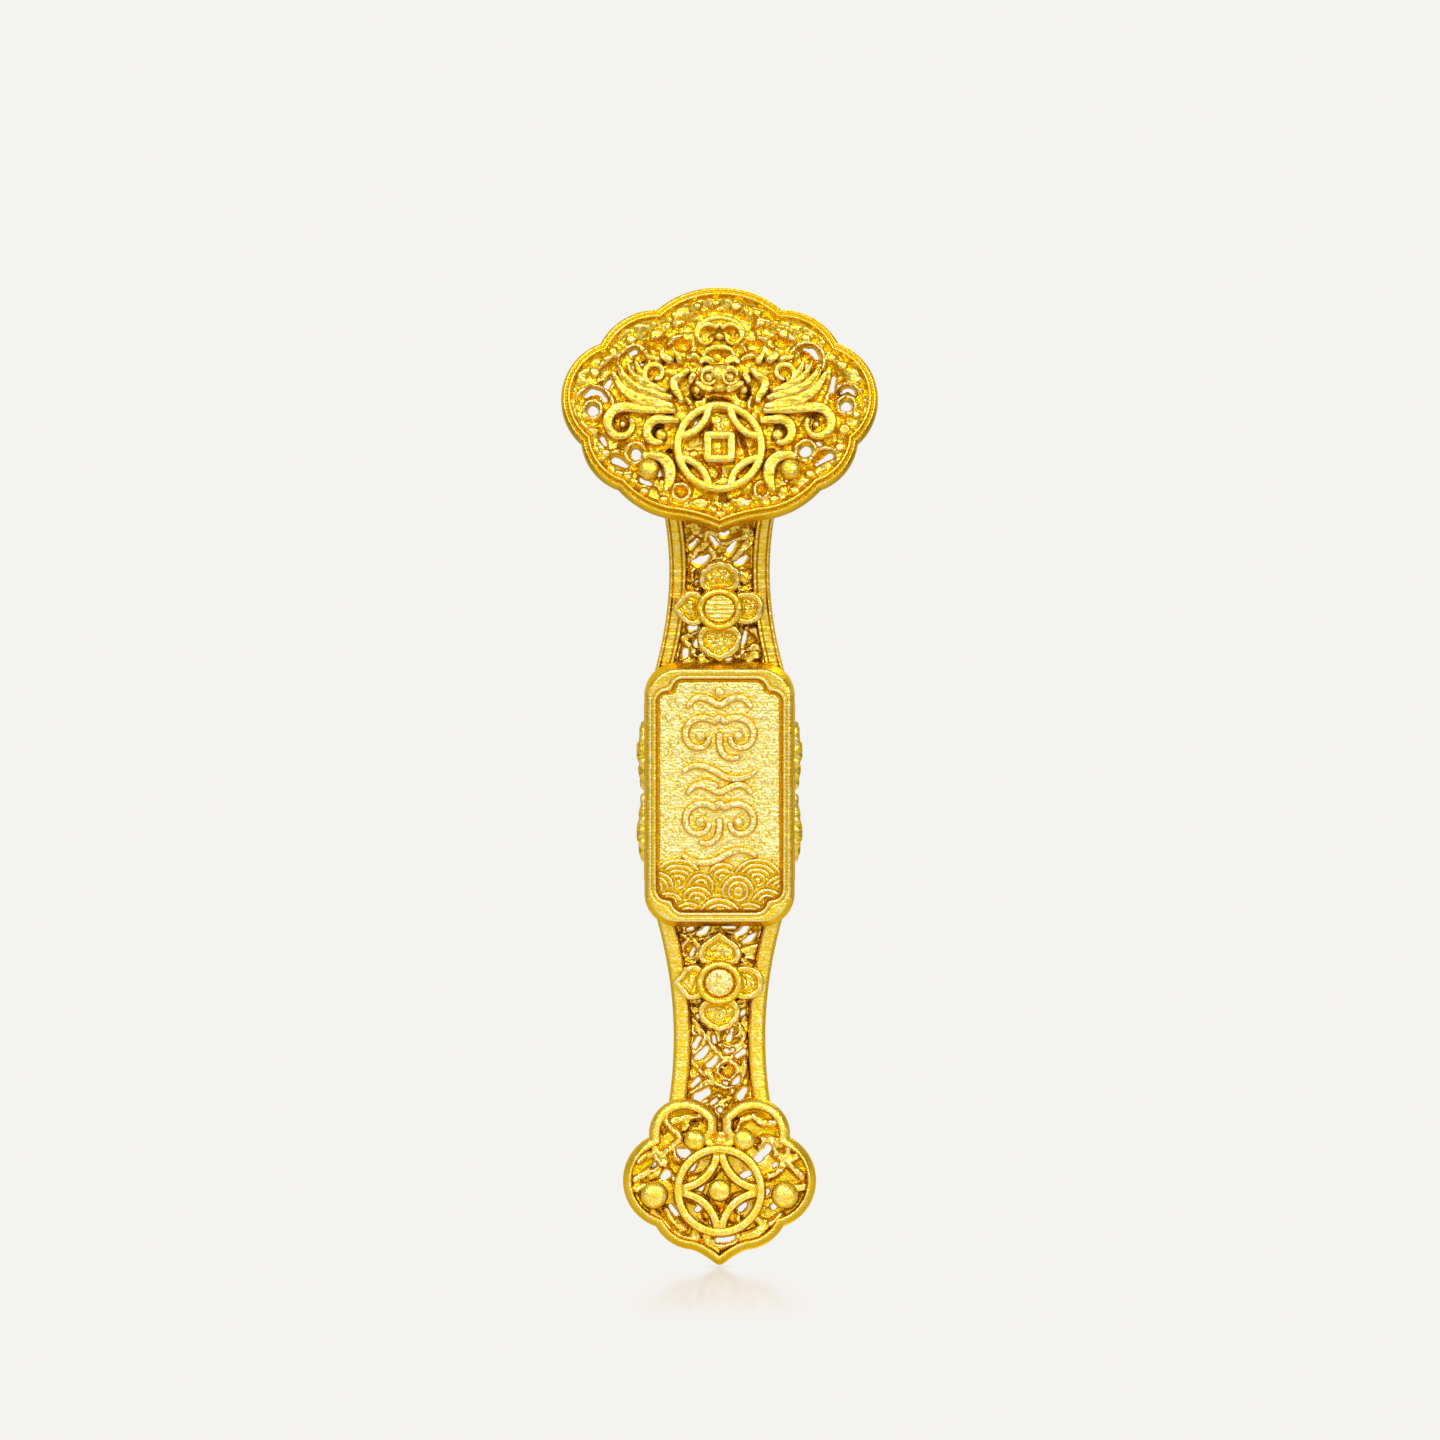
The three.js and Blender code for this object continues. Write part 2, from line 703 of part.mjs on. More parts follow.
// Piercings of a plate's right half and their mirror images. Places are shares of the half width and
// height, sizes are shares of the largest scroll: scrolls as [x, y, reach, angle that the crescent opens
// from], round eyes as [x, y, radius], leaves as [x, y, angle]
function piercings(width, height, largest, { scrolls, eyes, leaves = [] }) {
  return [1, -1].flatMap((side) => {
    const place = (x, y) => [(side * x * width) / 2, (y * height) / 2];
    const turn = (angle) => (side > 0 ? angle : Math.PI - angle);
    return [
      ...scrolls.flatMap(([x, y, reach, angle]) => {
        const radius = reach * largest;
        return [
          circle(...place(x, y), 0.32 * radius, 6),
          crescent(place(x, y), 0.62 * radius, radius, turn(angle), side * 0.95 * Math.PI, 6),
        ];
      }),
      ...eyes.map(([x, y, radius]) => circle(...place(x, y), radius * largest, 6)),
      ...leaves.map(([x, y, angle]) => leafHole(place(x, y), 0.93 * largest, 0.43 * largest, turn(angle))),
    ];
  });
}

const headPattern = {
  scrolls: [
    [0.737, 0.024, 1, 0.1],
    [0.551, 0.36, 0.96, 0.15],
    [0.322, 0.552, 0.61, 0.2],
    [0.557, -0.36, 0.86, -1.15],
    [0.378, -0.568, 0.57, -1.4],
  ],
  eyes: [
    [0.186, -0.672, 0.36],
    [0.712, 0.28, 0.29],
    [0.687, -0.2, 0.29],
    [0.155, -0.208, 0.54],
    [0.155, -0.456, 0.54],
    [0.18, 0.72, 0.29],
  ],
  leaves: [
    [0.427, 0.472, 0.9],
    [0.223, 0.52, 1.9],
    [0.625, -0.016, 1.7],
    [0.681, 0.16, 0.4],
    [0.452, -0.392, -0.6],
    [0.502, -0.52, 0.7],
  ],
};

function headPlate() {
  const outline = inset(headOutline(), headRimWidth + seam);
  const holes = piercings(headWidth, headHeight, headPiercing, headPattern);
  return plate(outline, headPlateDepth, { holes }).translate(0, 0, headPlateBack);
}

// A place on the head as shares of its half width and height
const headShare = (x, y) => [(x * headWidth) / 2, (y * headHeight) / 2];

// Bat with spread wings, each wing a crescent with a fin; its points are shares of the head's half sizes
function headBat() {
  const scaled = (points) => points.map(([x, y, bulge]) => [...headShare(x, y), bulge]);
  const [crown, ...sides] = scaled([
    [0, 0.472],
    [0.043, 0.488, 0.3],
    [0.08, 0.4, 0.1],
    [0.142, 0.336, 0.2],
    [0.118, 0.208, 0.15],
    [0.062, 0.12, 0.15],
    [0, 0.096, 0.1],
  ]);
  const wingEdge = scaled([
    [0.093, 0.176],
    [0.285, 0.088, -0.1],
    [0.52, 0.112, -0.12],
    [0.675, 0.368, -0.16],
    [0.533, 0.264, -0.05],
    [0.446, 0.344, 0.25],
    [0.347, 0.464, 0.1],
    [0.26, 0.368, -0.15],
    [0.093, 0.336, 0.12],
  ]);
  const round = 0.25 * headReliefHeight;
  const wing = (side) => {
    const points = [new THREE.Vector2(wingEdge[0][0], wingEdge[0][1])];
    for (const [x, y, bulge] of wingEdge.slice(1)) {
      points.push(...arcStretch(points.at(-1), new THREE.Vector2(x, y), bulge));
    }
    return plate(mirrorPath(points, side), 0.8 * headReliefHeight, { round, roundSteps: 1 });
  };
  const body = mirroredOutline(crown.slice(0, 2), sides);
  const torso = plate(body, headReliefHeight, { round, roundSteps: 1 });
  return join(torso, wing(1), wing(-1)).translate(0, 0, headReliefBack);
}

function headCloud() {
  const path = cloudPath(headCloudSpread, headCloudPlace);
  return stroke(path, headCloudStroke, 0.9 * headReliefHeight).translate(0, 0, headReliefBack);
}

// Coin: a ring with a square eye, tied to it by four curved bars
function headCoin() {
  const ring = turned(
    [
      [coinRadius - coinStroke, 0],
      [coinRadius, 0],
      [coinRadius, 0.6 * headReliefHeight],
      [coinRadius - coinStroke / 2, headReliefHeight],
      [coinRadius - coinStroke, 0.6 * headReliefHeight],
    ],
    24,
  );
  const half = coinSquare / 2;
  const corner = half + coinStroke;
  const eye = plate(roundedRectangle(2 * corner, 2 * corner, 0.25 * corner), headReliefHeight, {
    holes: [roundedRectangle(coinSquare, coinSquare, 0.1 * coinSquare)],
    round: 0.18 * coinStroke,
    roundSteps: 1,
  });
  const reach = coinRadius - coinStroke / 2;
  const bow = reach - corner / 2;
  const bars = [0, 1, 2, 3].map((i) =>
    stroke(
      spiral([reach, reach], [bow, bow], 1.07 * Math.PI, 0.36 * Math.PI, 5),
      0.8 * coinStroke,
      0.8 * headReliefHeight,
    ).rotateZ((i * Math.PI) / 2),
  );
  return join(ring, eye, ...bars).translate(0, coinPlace, headReliefBack);
}

// Ribbon scrolls under each wing: two volutes from one root
function headScroll(side) {
  const root = new THREE.Vector2(...headShare(0.31, -0.008));
  const outerRadii = [ribbonRadius, 0.48 * ribbonRadius];
  const innerRadii = [0.68 * ribbonRadius, 0.4 * ribbonRadius];
  const outer = [
    root,
    new THREE.Vector2(...headShare(0.433, 0.012)),
    ...spiral(headShare(0.582, -0.152), outerRadii, 0.62 * Math.PI, -1.75 * Math.PI, 14),
  ];
  const inner = [root, ...spiral(headShare(0.39, -0.208), innerRadii, 0.45 * Math.PI, -1.35 * Math.PI, 9)];
  const strokes = [outer, inner].map((path) =>
    stroke(mirrorPath(path, side), (t) => ribbonStroke * (1 - 0.25 * t), headReliefHeight),
  );
  return join(...strokes).translate(0, 0, headReliefBack);
}

// A comma curl beside the coin: a round head and a tail swept over it
function headCurl(side) {
  const radii = [curlRadius, 1.3 * curlRadius];
  const tail = spiral(headShare(0.452, -0.552), radii, 0.2 * Math.PI, 1.15 * Math.PI, 9);
  const sweep = stroke(mirrorPath(tail, side), (t) => curlStroke * (1.1 - 0.5 * t), headReliefHeight);
  const [x, y] = headShare(0.495, -0.512);
  const head = turned([[0, 0], [1, 0], [0.95, 0.5], [0.6, 0.9], [0, 1]], 14)
    .scale(0.74 * curlRadius, 0.74 * curlRadius, 0.95 * headReliefHeight)
    .translate(side * x, y, 0);
  return join(sweep, head).translate(0, 0, headReliefBack);
}

// The head stands as far forward as leaves the saddle its depth in front of the stem's tongue
const tongueFront = stemPoint(0, upperEnd, stemDepth + seam).y;
const headForward =
  saddleDepth -
  tongueFront -
  saddleTop * Math.sin(headTilt) -
  (headPlateBack - seam) * Math.cos(headTilt);

// A place on the head's own plane: y up it, c forward of its back
function headPoint(y, c) {
  return new THREE.Vector3(
    0,
    -headForward + y * Math.sin(headTilt) - c * Math.cos(headTilt),
    headPlace + y * Math.cos(headTilt) + c * Math.sin(headTilt),
  );
}

// Wedge that fills between the stem's tongue and the back of the head plate
function neckSaddle() {
  const corners = [
    stemPoint(0, upperEnd - saddleLength, stemDepth + seam),
    stemPoint(0, upperEnd, stemDepth + seam),
    headPoint(-saddleTop, headPlateBack - seam),
    headPoint(-saddleTop - saddleLength, headPlateBack - seam),
  ];
  const shape = new THREE.Shape(corners.map((p) => new THREE.Vector2(p.y, p.z)));
  const wedge = new THREE.ExtrudeGeometry(shape, { depth: saddleWidth, steps: 1, bevelEnabled: false });
  const position = wedge.getAttribute("position");
  for (let i = 0; i < position.count; i++) {
    const [y, z, x] = [position.getX(i), position.getY(i), position.getZ(i)];
    position.setXYZ(i, x - saddleWidth / 2, y, z);
  }
  return wedge;
}

// Tail outline about its medallion: two curls, two sides and a pointed skirt
function tailOutline() {
  const x = tailWidth / 2;
  const y = tailHeight / 2;
  return mirroredOutline([0, 0.8 * y], [
    [0.08 * x, 0.94 * y, 0],
    [0.728 * x, 0.646 * y, 0.36],
    [0.657 * x, -0.428 * y, 0.33],
    [0.293 * x, -0.705 * y, 0.125],
    [0, -0.89 * y, -0.05],
  ]);
}

const tailRim = () =>
  rimAlong(tailOutline(), rimSection(tailRimDepth, tailRimWidth, tailLedgeWidth, tailLedgeDepth));

const tailPlateBack = tailLedgeDepth + seam;
const tailReliefBack = tailPlateBack + tailPlateDepth + seam;

const tailPattern = {
  scrolls: [
    [0.657, 0.294, 1, 0.1],
    [0.424, 0.753, 0.79, 0.4],
    [0.465, -0.259, 0.74, -1.3],
  ],
  eyes: [
    [0.172, 0.2, 0.74],
    [0.172, -0.2, 0.74],
    [0.1, -0.541, 0.37],
  ],
};

function tailPlate() {
  const outline = inset(tailOutline(), tailRimWidth + seam);
  const holes = piercings(tailWidth, tailHeight, tailPiercing, tailPattern);
  return plate(outline, tailPlateDepth, { holes }).translate(0, 0, tailPlateBack);
}

// Medallion: a ring with four bars that bow in towards a small boss
function tailMedallion() {
  const ring = turned(
    [
      [medallionRadius - medallionStroke, 0],
      [medallionRadius, 0],
      [medallionRadius, 0.6 * medallionHeight],
      [medallionRadius - medallionStroke / 2, medallionHeight],
      [medallionRadius - medallionStroke, 0.6 * medallionHeight],
    ],
    24,
  );
  const reach = medallionRadius - medallionStroke / 2;
  const bow = 0.95 * reach;
  const bars = [0, 1, 2, 3].map((i) =>
    stroke(
      spiral([reach, reach], [bow, bow], 1.03 * Math.PI, 0.44 * Math.PI, 6),
      medallionStroke,
      0.85 * medallionHeight,
    ).rotateZ((i * Math.PI) / 2),
  );
  const bossRadius = Math.SQRT2 * reach - bow;
  const boss = turned(
    [
      [0, 0],
      [bossRadius, 0],
      [bossRadius, 0.6 * medallionHeight],
      [0.6 * bossRadius, 0.95 * medallionHeight],
      [0, medallionHeight],
    ],
    14,
  );
  return join(ring, boss, ...bars).translate(0, 0, tailReliefBack);
}

// A bead with a narrow foot; its place is a share of the tail's half sizes
function tailBead(radius, x, y) {
  const dome = [0, 1].map((t) => {
    const angle = (t * 50 * Math.PI) / 180;
    return [radius * Math.cos(angle), radius * (0.5 + Math.sin(angle))];
  });
  const profile = [[0, 0], [0.85 * radius, 0], ...dome, [0, 1.5 * radius]];
  return turned(profile, 12).translate((x * tailWidth) / 2, (y * tailHeight) / 2, tailReliefBack);
}

// The assembly
const ruyi = new THREE.Group();
const head = new THREE.Group();
const tail = new THREE.Group();
ruyi.add(head, tail);
head.position.set(0, -headForward, headPlace);
head.rotation.x = Math.PI / 2 - headTilt;
tail.position.copy(stemPoint(0, -tailReach, stemDepth + seam));
tail.rotation.x = Math.PI / 2 - bendAngle(-tailReach);

function addPiece(group, name, geometry, finish) {
  geometry.deleteAttribute("normal");
  geometry.deleteAttribute("uv");
  const mesh = new THREE.Mesh(geometry, new THREE.MeshStandardMaterial(finishes[finish]));
  mesh.geometry.computeVertexNormals();
  mesh.name = name;
  group.add(mesh);
  return mesh;
}

addPiece(ruyi, "stem_frame", stemFrame(), "satin");
addPiece(ruyi, "back_plate", backPlate(), "satin");
addPiece(ruyi, "tablet_frame", tabletFrame(), "bright");
addPiece(ruyi, "tablet_panel", tabletPanel(), "stippled");
addPiece(ruyi, "tablet_waves", tabletWaves(), "cast");
addPiece(ruyi, "tablet_upper_cloud", tabletCloud(upperCloudPlace), "bright");
addPiece(ruyi, "tablet_lower_cloud", tabletCloud(lowerCloudPlace), "bright");

for (const arm of arms) {
  addPiece(ruyi, `${arm.name}_openwork`, stemPanel(arm), "cast");
  const station = arm.side * arm.flowerReach;
  const flower = new THREE.Group();
  flower.position.copy(stemPoint(0, station, stemDepth + seam));
  flower.rotation.x = Math.PI / 2 + arm.side * bendAngle(station);
  ruyi.add(flower);
  addPiece(flower, `${arm.name}_flower_petals`, flowerPetals(), "cast");
  const seat = petalDepth + seam;
  addPiece(flower, `${arm.name}_flower_bezel`, flowerBezel(), "bright").position.z = seat;
  addPiece(flower, `${arm.name}_flower_boss`, flowerBoss(), "stippled").position.z = seat;
}

for (const [hand, side] of [["right", 1], ["left", -1]]) {
  addPiece(ruyi, `side_spray_${hand}`, sideSpray(side), "cast");
  addPiece(head, `head_scroll_${hand}`, headScroll(side), "satin");
  addPiece(head, `head_curl_${hand}`, headCurl(side), "satin");
  const sideBead = tailBead(sideBeadRadius, side * 0.667, -0.055);
  const curlBead = tailBead(curlBeadRadius, side * 0.2525, 0.612);
  addPiece(tail, `tail_bead_side_${hand}`, sideBead, "bright");
  addPiece(tail, `tail_bead_curl_${hand}`, curlBead, "bright");
}

addPiece(head, "head_rim", headRim(), "bright");
addPiece(head, "head_openwork", headPlate(), "cast");
addPiece(head, "head_bat", headBat(), "satin");
addPiece(head, "head_cloud", headCloud(), "satin");
addPiece(head, "head_coin", headCoin(), "bright");
addPiece(ruyi, "neck_saddle", neckSaddle(), "satin");
addPiece(tail, "tail_rim", tailRim(), "bright");
addPiece(tail, "tail_openwork", tailPlate(), "cast");
addPiece(tail, "tail_medallion", tailMedallion(), "bright");

export default ruyi;
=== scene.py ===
import math

import bmesh
import bpy
import numpy as np
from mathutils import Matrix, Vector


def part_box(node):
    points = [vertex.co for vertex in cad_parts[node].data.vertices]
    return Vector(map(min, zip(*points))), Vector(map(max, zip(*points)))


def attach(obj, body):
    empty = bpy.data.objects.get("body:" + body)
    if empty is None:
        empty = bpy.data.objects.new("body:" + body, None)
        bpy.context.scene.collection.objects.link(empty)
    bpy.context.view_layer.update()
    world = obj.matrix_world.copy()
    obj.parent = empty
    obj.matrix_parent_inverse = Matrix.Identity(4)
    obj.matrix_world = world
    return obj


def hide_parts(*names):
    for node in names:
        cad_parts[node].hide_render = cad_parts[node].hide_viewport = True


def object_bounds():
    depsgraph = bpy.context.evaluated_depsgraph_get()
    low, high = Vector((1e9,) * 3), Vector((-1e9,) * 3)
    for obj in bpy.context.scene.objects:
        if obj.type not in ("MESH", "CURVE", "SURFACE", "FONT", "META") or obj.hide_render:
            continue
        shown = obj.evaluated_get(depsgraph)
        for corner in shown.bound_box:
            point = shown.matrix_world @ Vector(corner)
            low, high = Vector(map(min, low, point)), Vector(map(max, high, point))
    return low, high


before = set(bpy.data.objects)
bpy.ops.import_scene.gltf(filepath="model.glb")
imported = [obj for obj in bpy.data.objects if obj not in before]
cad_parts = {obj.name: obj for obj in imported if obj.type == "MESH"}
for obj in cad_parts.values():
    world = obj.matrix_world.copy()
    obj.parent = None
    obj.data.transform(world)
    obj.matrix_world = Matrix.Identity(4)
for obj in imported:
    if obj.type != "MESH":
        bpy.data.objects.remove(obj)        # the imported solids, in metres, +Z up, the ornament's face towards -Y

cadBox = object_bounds()
mm = 0.001
print("frame loaded:", len(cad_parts), "solids")


# Finishes: one cast gold with four surfaces, each a grain on Object coordinates.
# Sizes are in mm: grain and coarse are lumps with their rises, lines is the pitch of casting lines and reach
# is how near other metal shuts a place in. Colours run from hollows and flanks, which are painted shade,
# through the grain's dips to its tops, whose pale tint is partly a painted highlight, and worn edges go over
# to the polish, a pale tint that is partly wear and partly a painted highlight, by its share
goldFinishes = {
    "satin_gold": {
        "hollowShade": (0.88, 0.64, 0.003), "flank": (0.75, 0.45, 0.006), "dip": (0.90, 0.59, 0.014),
        "mid": (0.97, 0.67, 0.055), "top": (1.0, 0.84, 0.39), "reach": 0.6,
        "polishAndHighlight": (1.0, 0.92, 0.62), "wearAndHighlight": 0.8,
        "roughness": (0.24, 0.38), "grain": 0.22, "grainRise": 0.050, "coarse": 0.7, "coarseRise": 0.04,
        "lines": 0.34, "linesRise": 0.008,
    },
    "bright_gold": {
        "hollowShade": (0.88, 0.64, 0.003), "flank": (0.72, 0.43, 0.005), "dip": (0.90, 0.59, 0.016),
        "mid": (0.97, 0.68, 0.065), "top": (1.0, 0.86, 0.45), "reach": 0.6,
        "polishAndHighlight": (1.0, 0.93, 0.66), "wearAndHighlight": 0.8,
        "roughness": (0.24, 0.36), "grain": 0.20, "grainRise": 0.048, "coarse": 0.6, "coarseRise": 0.035,
    },
    "cast_gold": {
        "hollowShade": (0.91, 0.67, 0.004), "flank": (0.79, 0.49, 0.006), "dip": (0.91, 0.60, 0.016),
        "mid": (0.97, 0.68, 0.060), "top": (1.0, 0.90, 0.58), "reach": 0.85,
        "polishAndHighlight": (1.0, 0.95, 0.74), "wearAndHighlight": 0.5,
        "roughness": (0.20, 0.32), "grain": 0.26, "grainRise": 0.045, "coarse": 0.55, "coarseRise": 0.08,
    },
    "stippled_gold": {
        "hollowShade": (0.92, 0.66, 0.004), "flank": (0.80, 0.47, 0.006), "dip": (0.76, 0.46, 0.010),
        "mid": (0.97, 0.78, 0.23), "top": (1.0, 0.94, 0.68), "reach": 0.6,
        "polishAndHighlight": (1.0, 0.96, 0.78), "wearAndHighlight": 0.6,
        "roughness": (0.24, 0.36), "grain": 0.26, "grainRise": 0.135, "coarse": 0.6, "coarseRise": 0.04,
        "lines": 0.3, "linesRise": 0.008,
    },
}


# What they share: the tint of grazing light, the places of the colours on the grain, the grain's share beside
# the coarse lumps', the facing over which the painted shade of flanks ends, the extra for faces that look up,
# so that faces looking up get less of that shade and faces looking down more, the openness over which the
# painted shade of hollows ends, the grain that spans the roughness, and the sway of the casting lines
goldForm = {
    "graze": (1.0, 0.82, 0.42), "stops": {"dip": 0.34, "mid": 0.5, "top": 0.66}, "grainShare": 0.65,
    "shadeFacing": (0.45, 0.96), "upward": 0.22, "openness": (0.40, 0.90), "grainSpan": (0.35, 0.65), "sway": 2.5,
}


# A value graded from an old range to a new one, evenly or by the given ease
def graded(nodes, links, value, old, new=(0, 1), ease="LINEAR"):
    node = nodes.new("ShaderNodeMapRange")
    node.interpolation_type = ease
    node.inputs["From Min"].default_value, node.inputs["From Max"].default_value = old
    node.inputs["To Min"].default_value, node.inputs["To Max"].default_value = new
    links.new(value, node.inputs["Value"])
    return node.outputs["Result"]


# Two colours mixed by a share, or multiplied. Each of the three is a socket or fixed
def colourMix(nodes, links, share, first, second, kind="MIX"):
    node = nodes.new("ShaderNodeMix")
    node.data_type, node.blend_type = "RGBA", kind
    for name, value in (("Factor", share), ("A", first), ("B", second)):
        if isinstance(value, bpy.types.NodeSocket):
            links.new(value, node.inputs[name])
        else:
            node.inputs[name].default_value = value if name == "Factor" else (*value, 1)
    return node.outputs["Result"]


# Gold: a metal shader whose bump is grain noise plus coarse noise plus level casting lines. Its tint follows
# the same grain, from dips to tops, whose pale tint is partly a painted highlight. It goes over to the flank's
# tint, a painted shade, as the surface turns from front or back to the side or down, to the polish, a pale tint
# that is partly wear and partly a painted highlight, where a piece's wear-and-highlight attribute is high, and
# to the hollow's tint, a painted shade, where the metal shuts itself in. The specular tint keeps grazing light
# golden
def goldFinish(name, look):
    material = bpy.data.materials.new(name)
    material.use_nodes = True
    nodes, links = material.node_tree.nodes, material.node_tree.links
    shader = nodes["Principled BSDF"]
    shader.inputs["Metallic"].default_value = 1
    shader.inputs["Specular Tint"].default_value = (*goldForm["graze"], 1)
    spot = nodes.new("ShaderNodeTexCoord").outputs["Object"]

    def noise(size):
        node = nodes.new("ShaderNodeTexNoise")
        node.inputs["Scale"].default_value = 1 / (size * mm)
        node.inputs["Detail"].default_value = 2
        links.new(spot, node.inputs["Vector"])
        return node.outputs["Fac"]

    def times(value, factor):
        node = nodes.new("ShaderNodeMath")
        node.operation = "MULTIPLY"
        links.new(value, node.inputs[0])
        node.inputs[1].default_value = factor
        return node.outputs[0]

    def plus(first, second):
        node = nodes.new("ShaderNodeMath")
        links.new(first, node.inputs[0])
        links.new(second, node.inputs[1])
        return node.outputs[0]

    grain, coarse = noise(look["grain"]), noise(look["coarse"])
    height = plus(times(grain, look["grainRise"] * mm), times(coarse, look["coarseRise"] * mm))
    if "lines" in look:
        wave = nodes.new("ShaderNodeTexWave")
        wave.bands_direction = "Z"
        wave.inputs["Scale"].default_value = math.pi / (10 * look["lines"] * mm)
        wave.inputs["Distortion"].default_value = goldForm["sway"]
        links.new(spot, wave.inputs["Vector"])
        height = plus(height, times(wave.outputs["Fac"], look["linesRise"] * mm))
    bump = nodes.new("ShaderNodeBump")
    bump.inputs["Strength"].default_value = 1
    bump.inputs["Distance"].default_value = 1
    links.new(height, bump.inputs["Height"])
    links.new(bump.outputs["Normal"], shader.inputs["Normal"])

    # The grain's tops take a pale tint that is partly grain tone and partly a painted highlight
    tint = nodes.new("ShaderNodeValToRGB")
    tint.color_ramp.elements.new(goldForm["stops"]["mid"])
    for element, (key, stop) in zip(tint.color_ramp.elements, goldForm["stops"].items()):
        element.position, element.color = stop, (*look[key], 1)
    share = goldForm["grainShare"]
    links.new(plus(times(grain, share), times(coarse, 1 - share)), tint.inputs["Fac"])
    # Painted shade: sides and undersides go over to the darker flank tint by the way they face
    normal, depth = nodes.new("ShaderNodeSeparateXYZ"), nodes.new("ShaderNodeMath")
    links.new(nodes.new("ShaderNodeNewGeometry").outputs["Normal"], normal.inputs[0])
    depth.operation = "ABSOLUTE"
    links.new(normal.outputs["Y"], depth.inputs[0])
    shadeFacing = plus(depth.outputs[0], times(normal.outputs["Z"], goldForm["upward"]))
    # Painted shade: where nearby metal shuts a place in, the colour goes over to the darker hollow tint
    hollowShadeOcclusion = nodes.new("ShaderNodeAmbientOcclusion")
    hollowShadeOcclusion.inputs["Distance"].default_value = look["reach"] * mm
    hollowShadeOcclusion.samples = 8
    # Edges that stand out go over to the polish, a pale tint that is partly wear and partly a painted highlight
    wearAndHighlightNode = nodes.new("ShaderNodeAttribute")
    wearAndHighlightNode.attribute_name = "wearAndHighlight"
    colour = tint.outputs["Color"]
    shares = {
        "flank": graded(nodes, links, shadeFacing, goldForm["shadeFacing"]),
        "polishAndHighlight": graded(nodes, links, wearAndHighlightNode.outputs["Fac"], (0, 1), (1, 1 - look["wearAndHighlight"])),
        "hollowShade": graded(nodes, links, hollowShadeOcclusion.outputs["AO"], goldForm["openness"]),
    }
    for key, share in shares.items():
        colour = colourMix(nodes, links, share, look[key], colour)
    links.new(colour, shader.inputs["Base Color"])
    roughness = graded(nodes, links, grain, goldForm["grainSpan"], look["roughness"])
    links.new(roughness, shader.inputs["Roughness"])
    return material


finishes = {name: goldFinish(name, look) for name, look in goldFinishes.items()}
print("finishes ready")


# Quads of a grid of points, row by row, as one block of corner numbers; either way may close on itself
def gridFaces(rows, cols, closeRows=False, closeCols=False):
    i, j = np.meshgrid(np.arange(rows - (not closeRows)), np.arange(cols - (not closeCols)), indexing="ij")
    i, j = i.ravel(), j.ravel()
    below, beside = (i + 1) % rows, (j + 1) % cols
    return [np.stack((i * cols + j, i * cols + beside, below * cols + beside, below * cols + j), 1)]


# Faces of a tube of rings: the block of its quads and a block of two caps, the second turned round
def tubeFaces(rows, cols):
    cap = np.arange(cols)
    return gridFaces(rows, cols, closeCols=True) + [np.stack((cap, rows * cols - 1 - cap))]


# Wear and painted highlight from 0 to 1: how far each vertex stands out from the mean of its neighbours, as a
# curvature per mm, evened over a few rounds and graded from low to high
wearAndHighlightForm = {"rounds": 2, "low": 2.4, "high": 6.5}


def edgeWearAndHighlight(mesh, form):
    count = len(mesh.vertices)
    spots, normals = np.empty(3 * count), np.empty(3 * count)
    ends = np.empty(2 * len(mesh.edges), int)
    mesh.vertices.foreach_get("co", spots)
    mesh.vertices.foreach_get("normal", normals)
    mesh.edges.foreach_get("vertices", ends)
    spots, normals = spots.reshape(-1, 3) / mm, normals.reshape(-1, 3)
    one, other = ends.reshape(-1, 2).T
    shares = np.maximum(np.bincount(ends, minlength=count), 1)

    def gathered(atOne, atOther):
        return (np.bincount(one, atOther, count) + np.bincount(other, atOne, count)) / shares

    gap = spots - np.stack([gathered(axis[one], axis[other]) for axis in spots.T], 1)
    square = ((spots[one] - spots[other]) ** 2).sum(1)
    bulge = 4 * (gap * normals).sum(1) / np.maximum(gathered(square, square), 1e-6)
    for _ in range(form["rounds"]):
        bulge = (bulge + gathered(bulge[one], bulge[other])) / 2
    return np.clip((bulge - form["low"]) / (form["high"] - form["low"]), 0, 1)


# One piece from closed shells of (points, blocks of faces), riding on the only body in place of its solid
def makePiece(name, shells, finish):
    points, faces, first = [], [], 0
    for shellPoints, blocks in shells:
        points.append(shellPoints)
        for block in blocks:
            faces += (block + first).tolist()
        first += len(shellPoints)
    mesh = bpy.data.meshes.new(name + "_gold")
    mesh.from_pydata(np.concatenate(points).tolist(), [], faces)
    work = bmesh.new()
    work.from_mesh(mesh)
    bmesh.ops.recalc_face_normals(work, faces=work.faces)
    work.to_mesh(mesh)
    work.free()
    mesh.polygons.foreach_set("use_smooth", np.ones(len(mesh.polygons), bool))
    # Edges that stand out are marked for a pale tint that is partly wear and partly a painted highlight
    mesh.attributes.new("wearAndHighlight", "FLOAT", "POINT").data.foreach_set("value", edgeWearAndHighlight(mesh, wearAndHighlightForm))
    mesh.materials.append(finishes[finish])
    piece = bpy.data.objects.new(name + "_gold", mesh)
    bpy.context.scene.collection.objects.link(piece)
    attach(piece, "root")
    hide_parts(name)
    print("piece", piece.name, len(mesh.polygons), "faces")


# Corners along each side of the random lattice, which repeats
lattice = 64


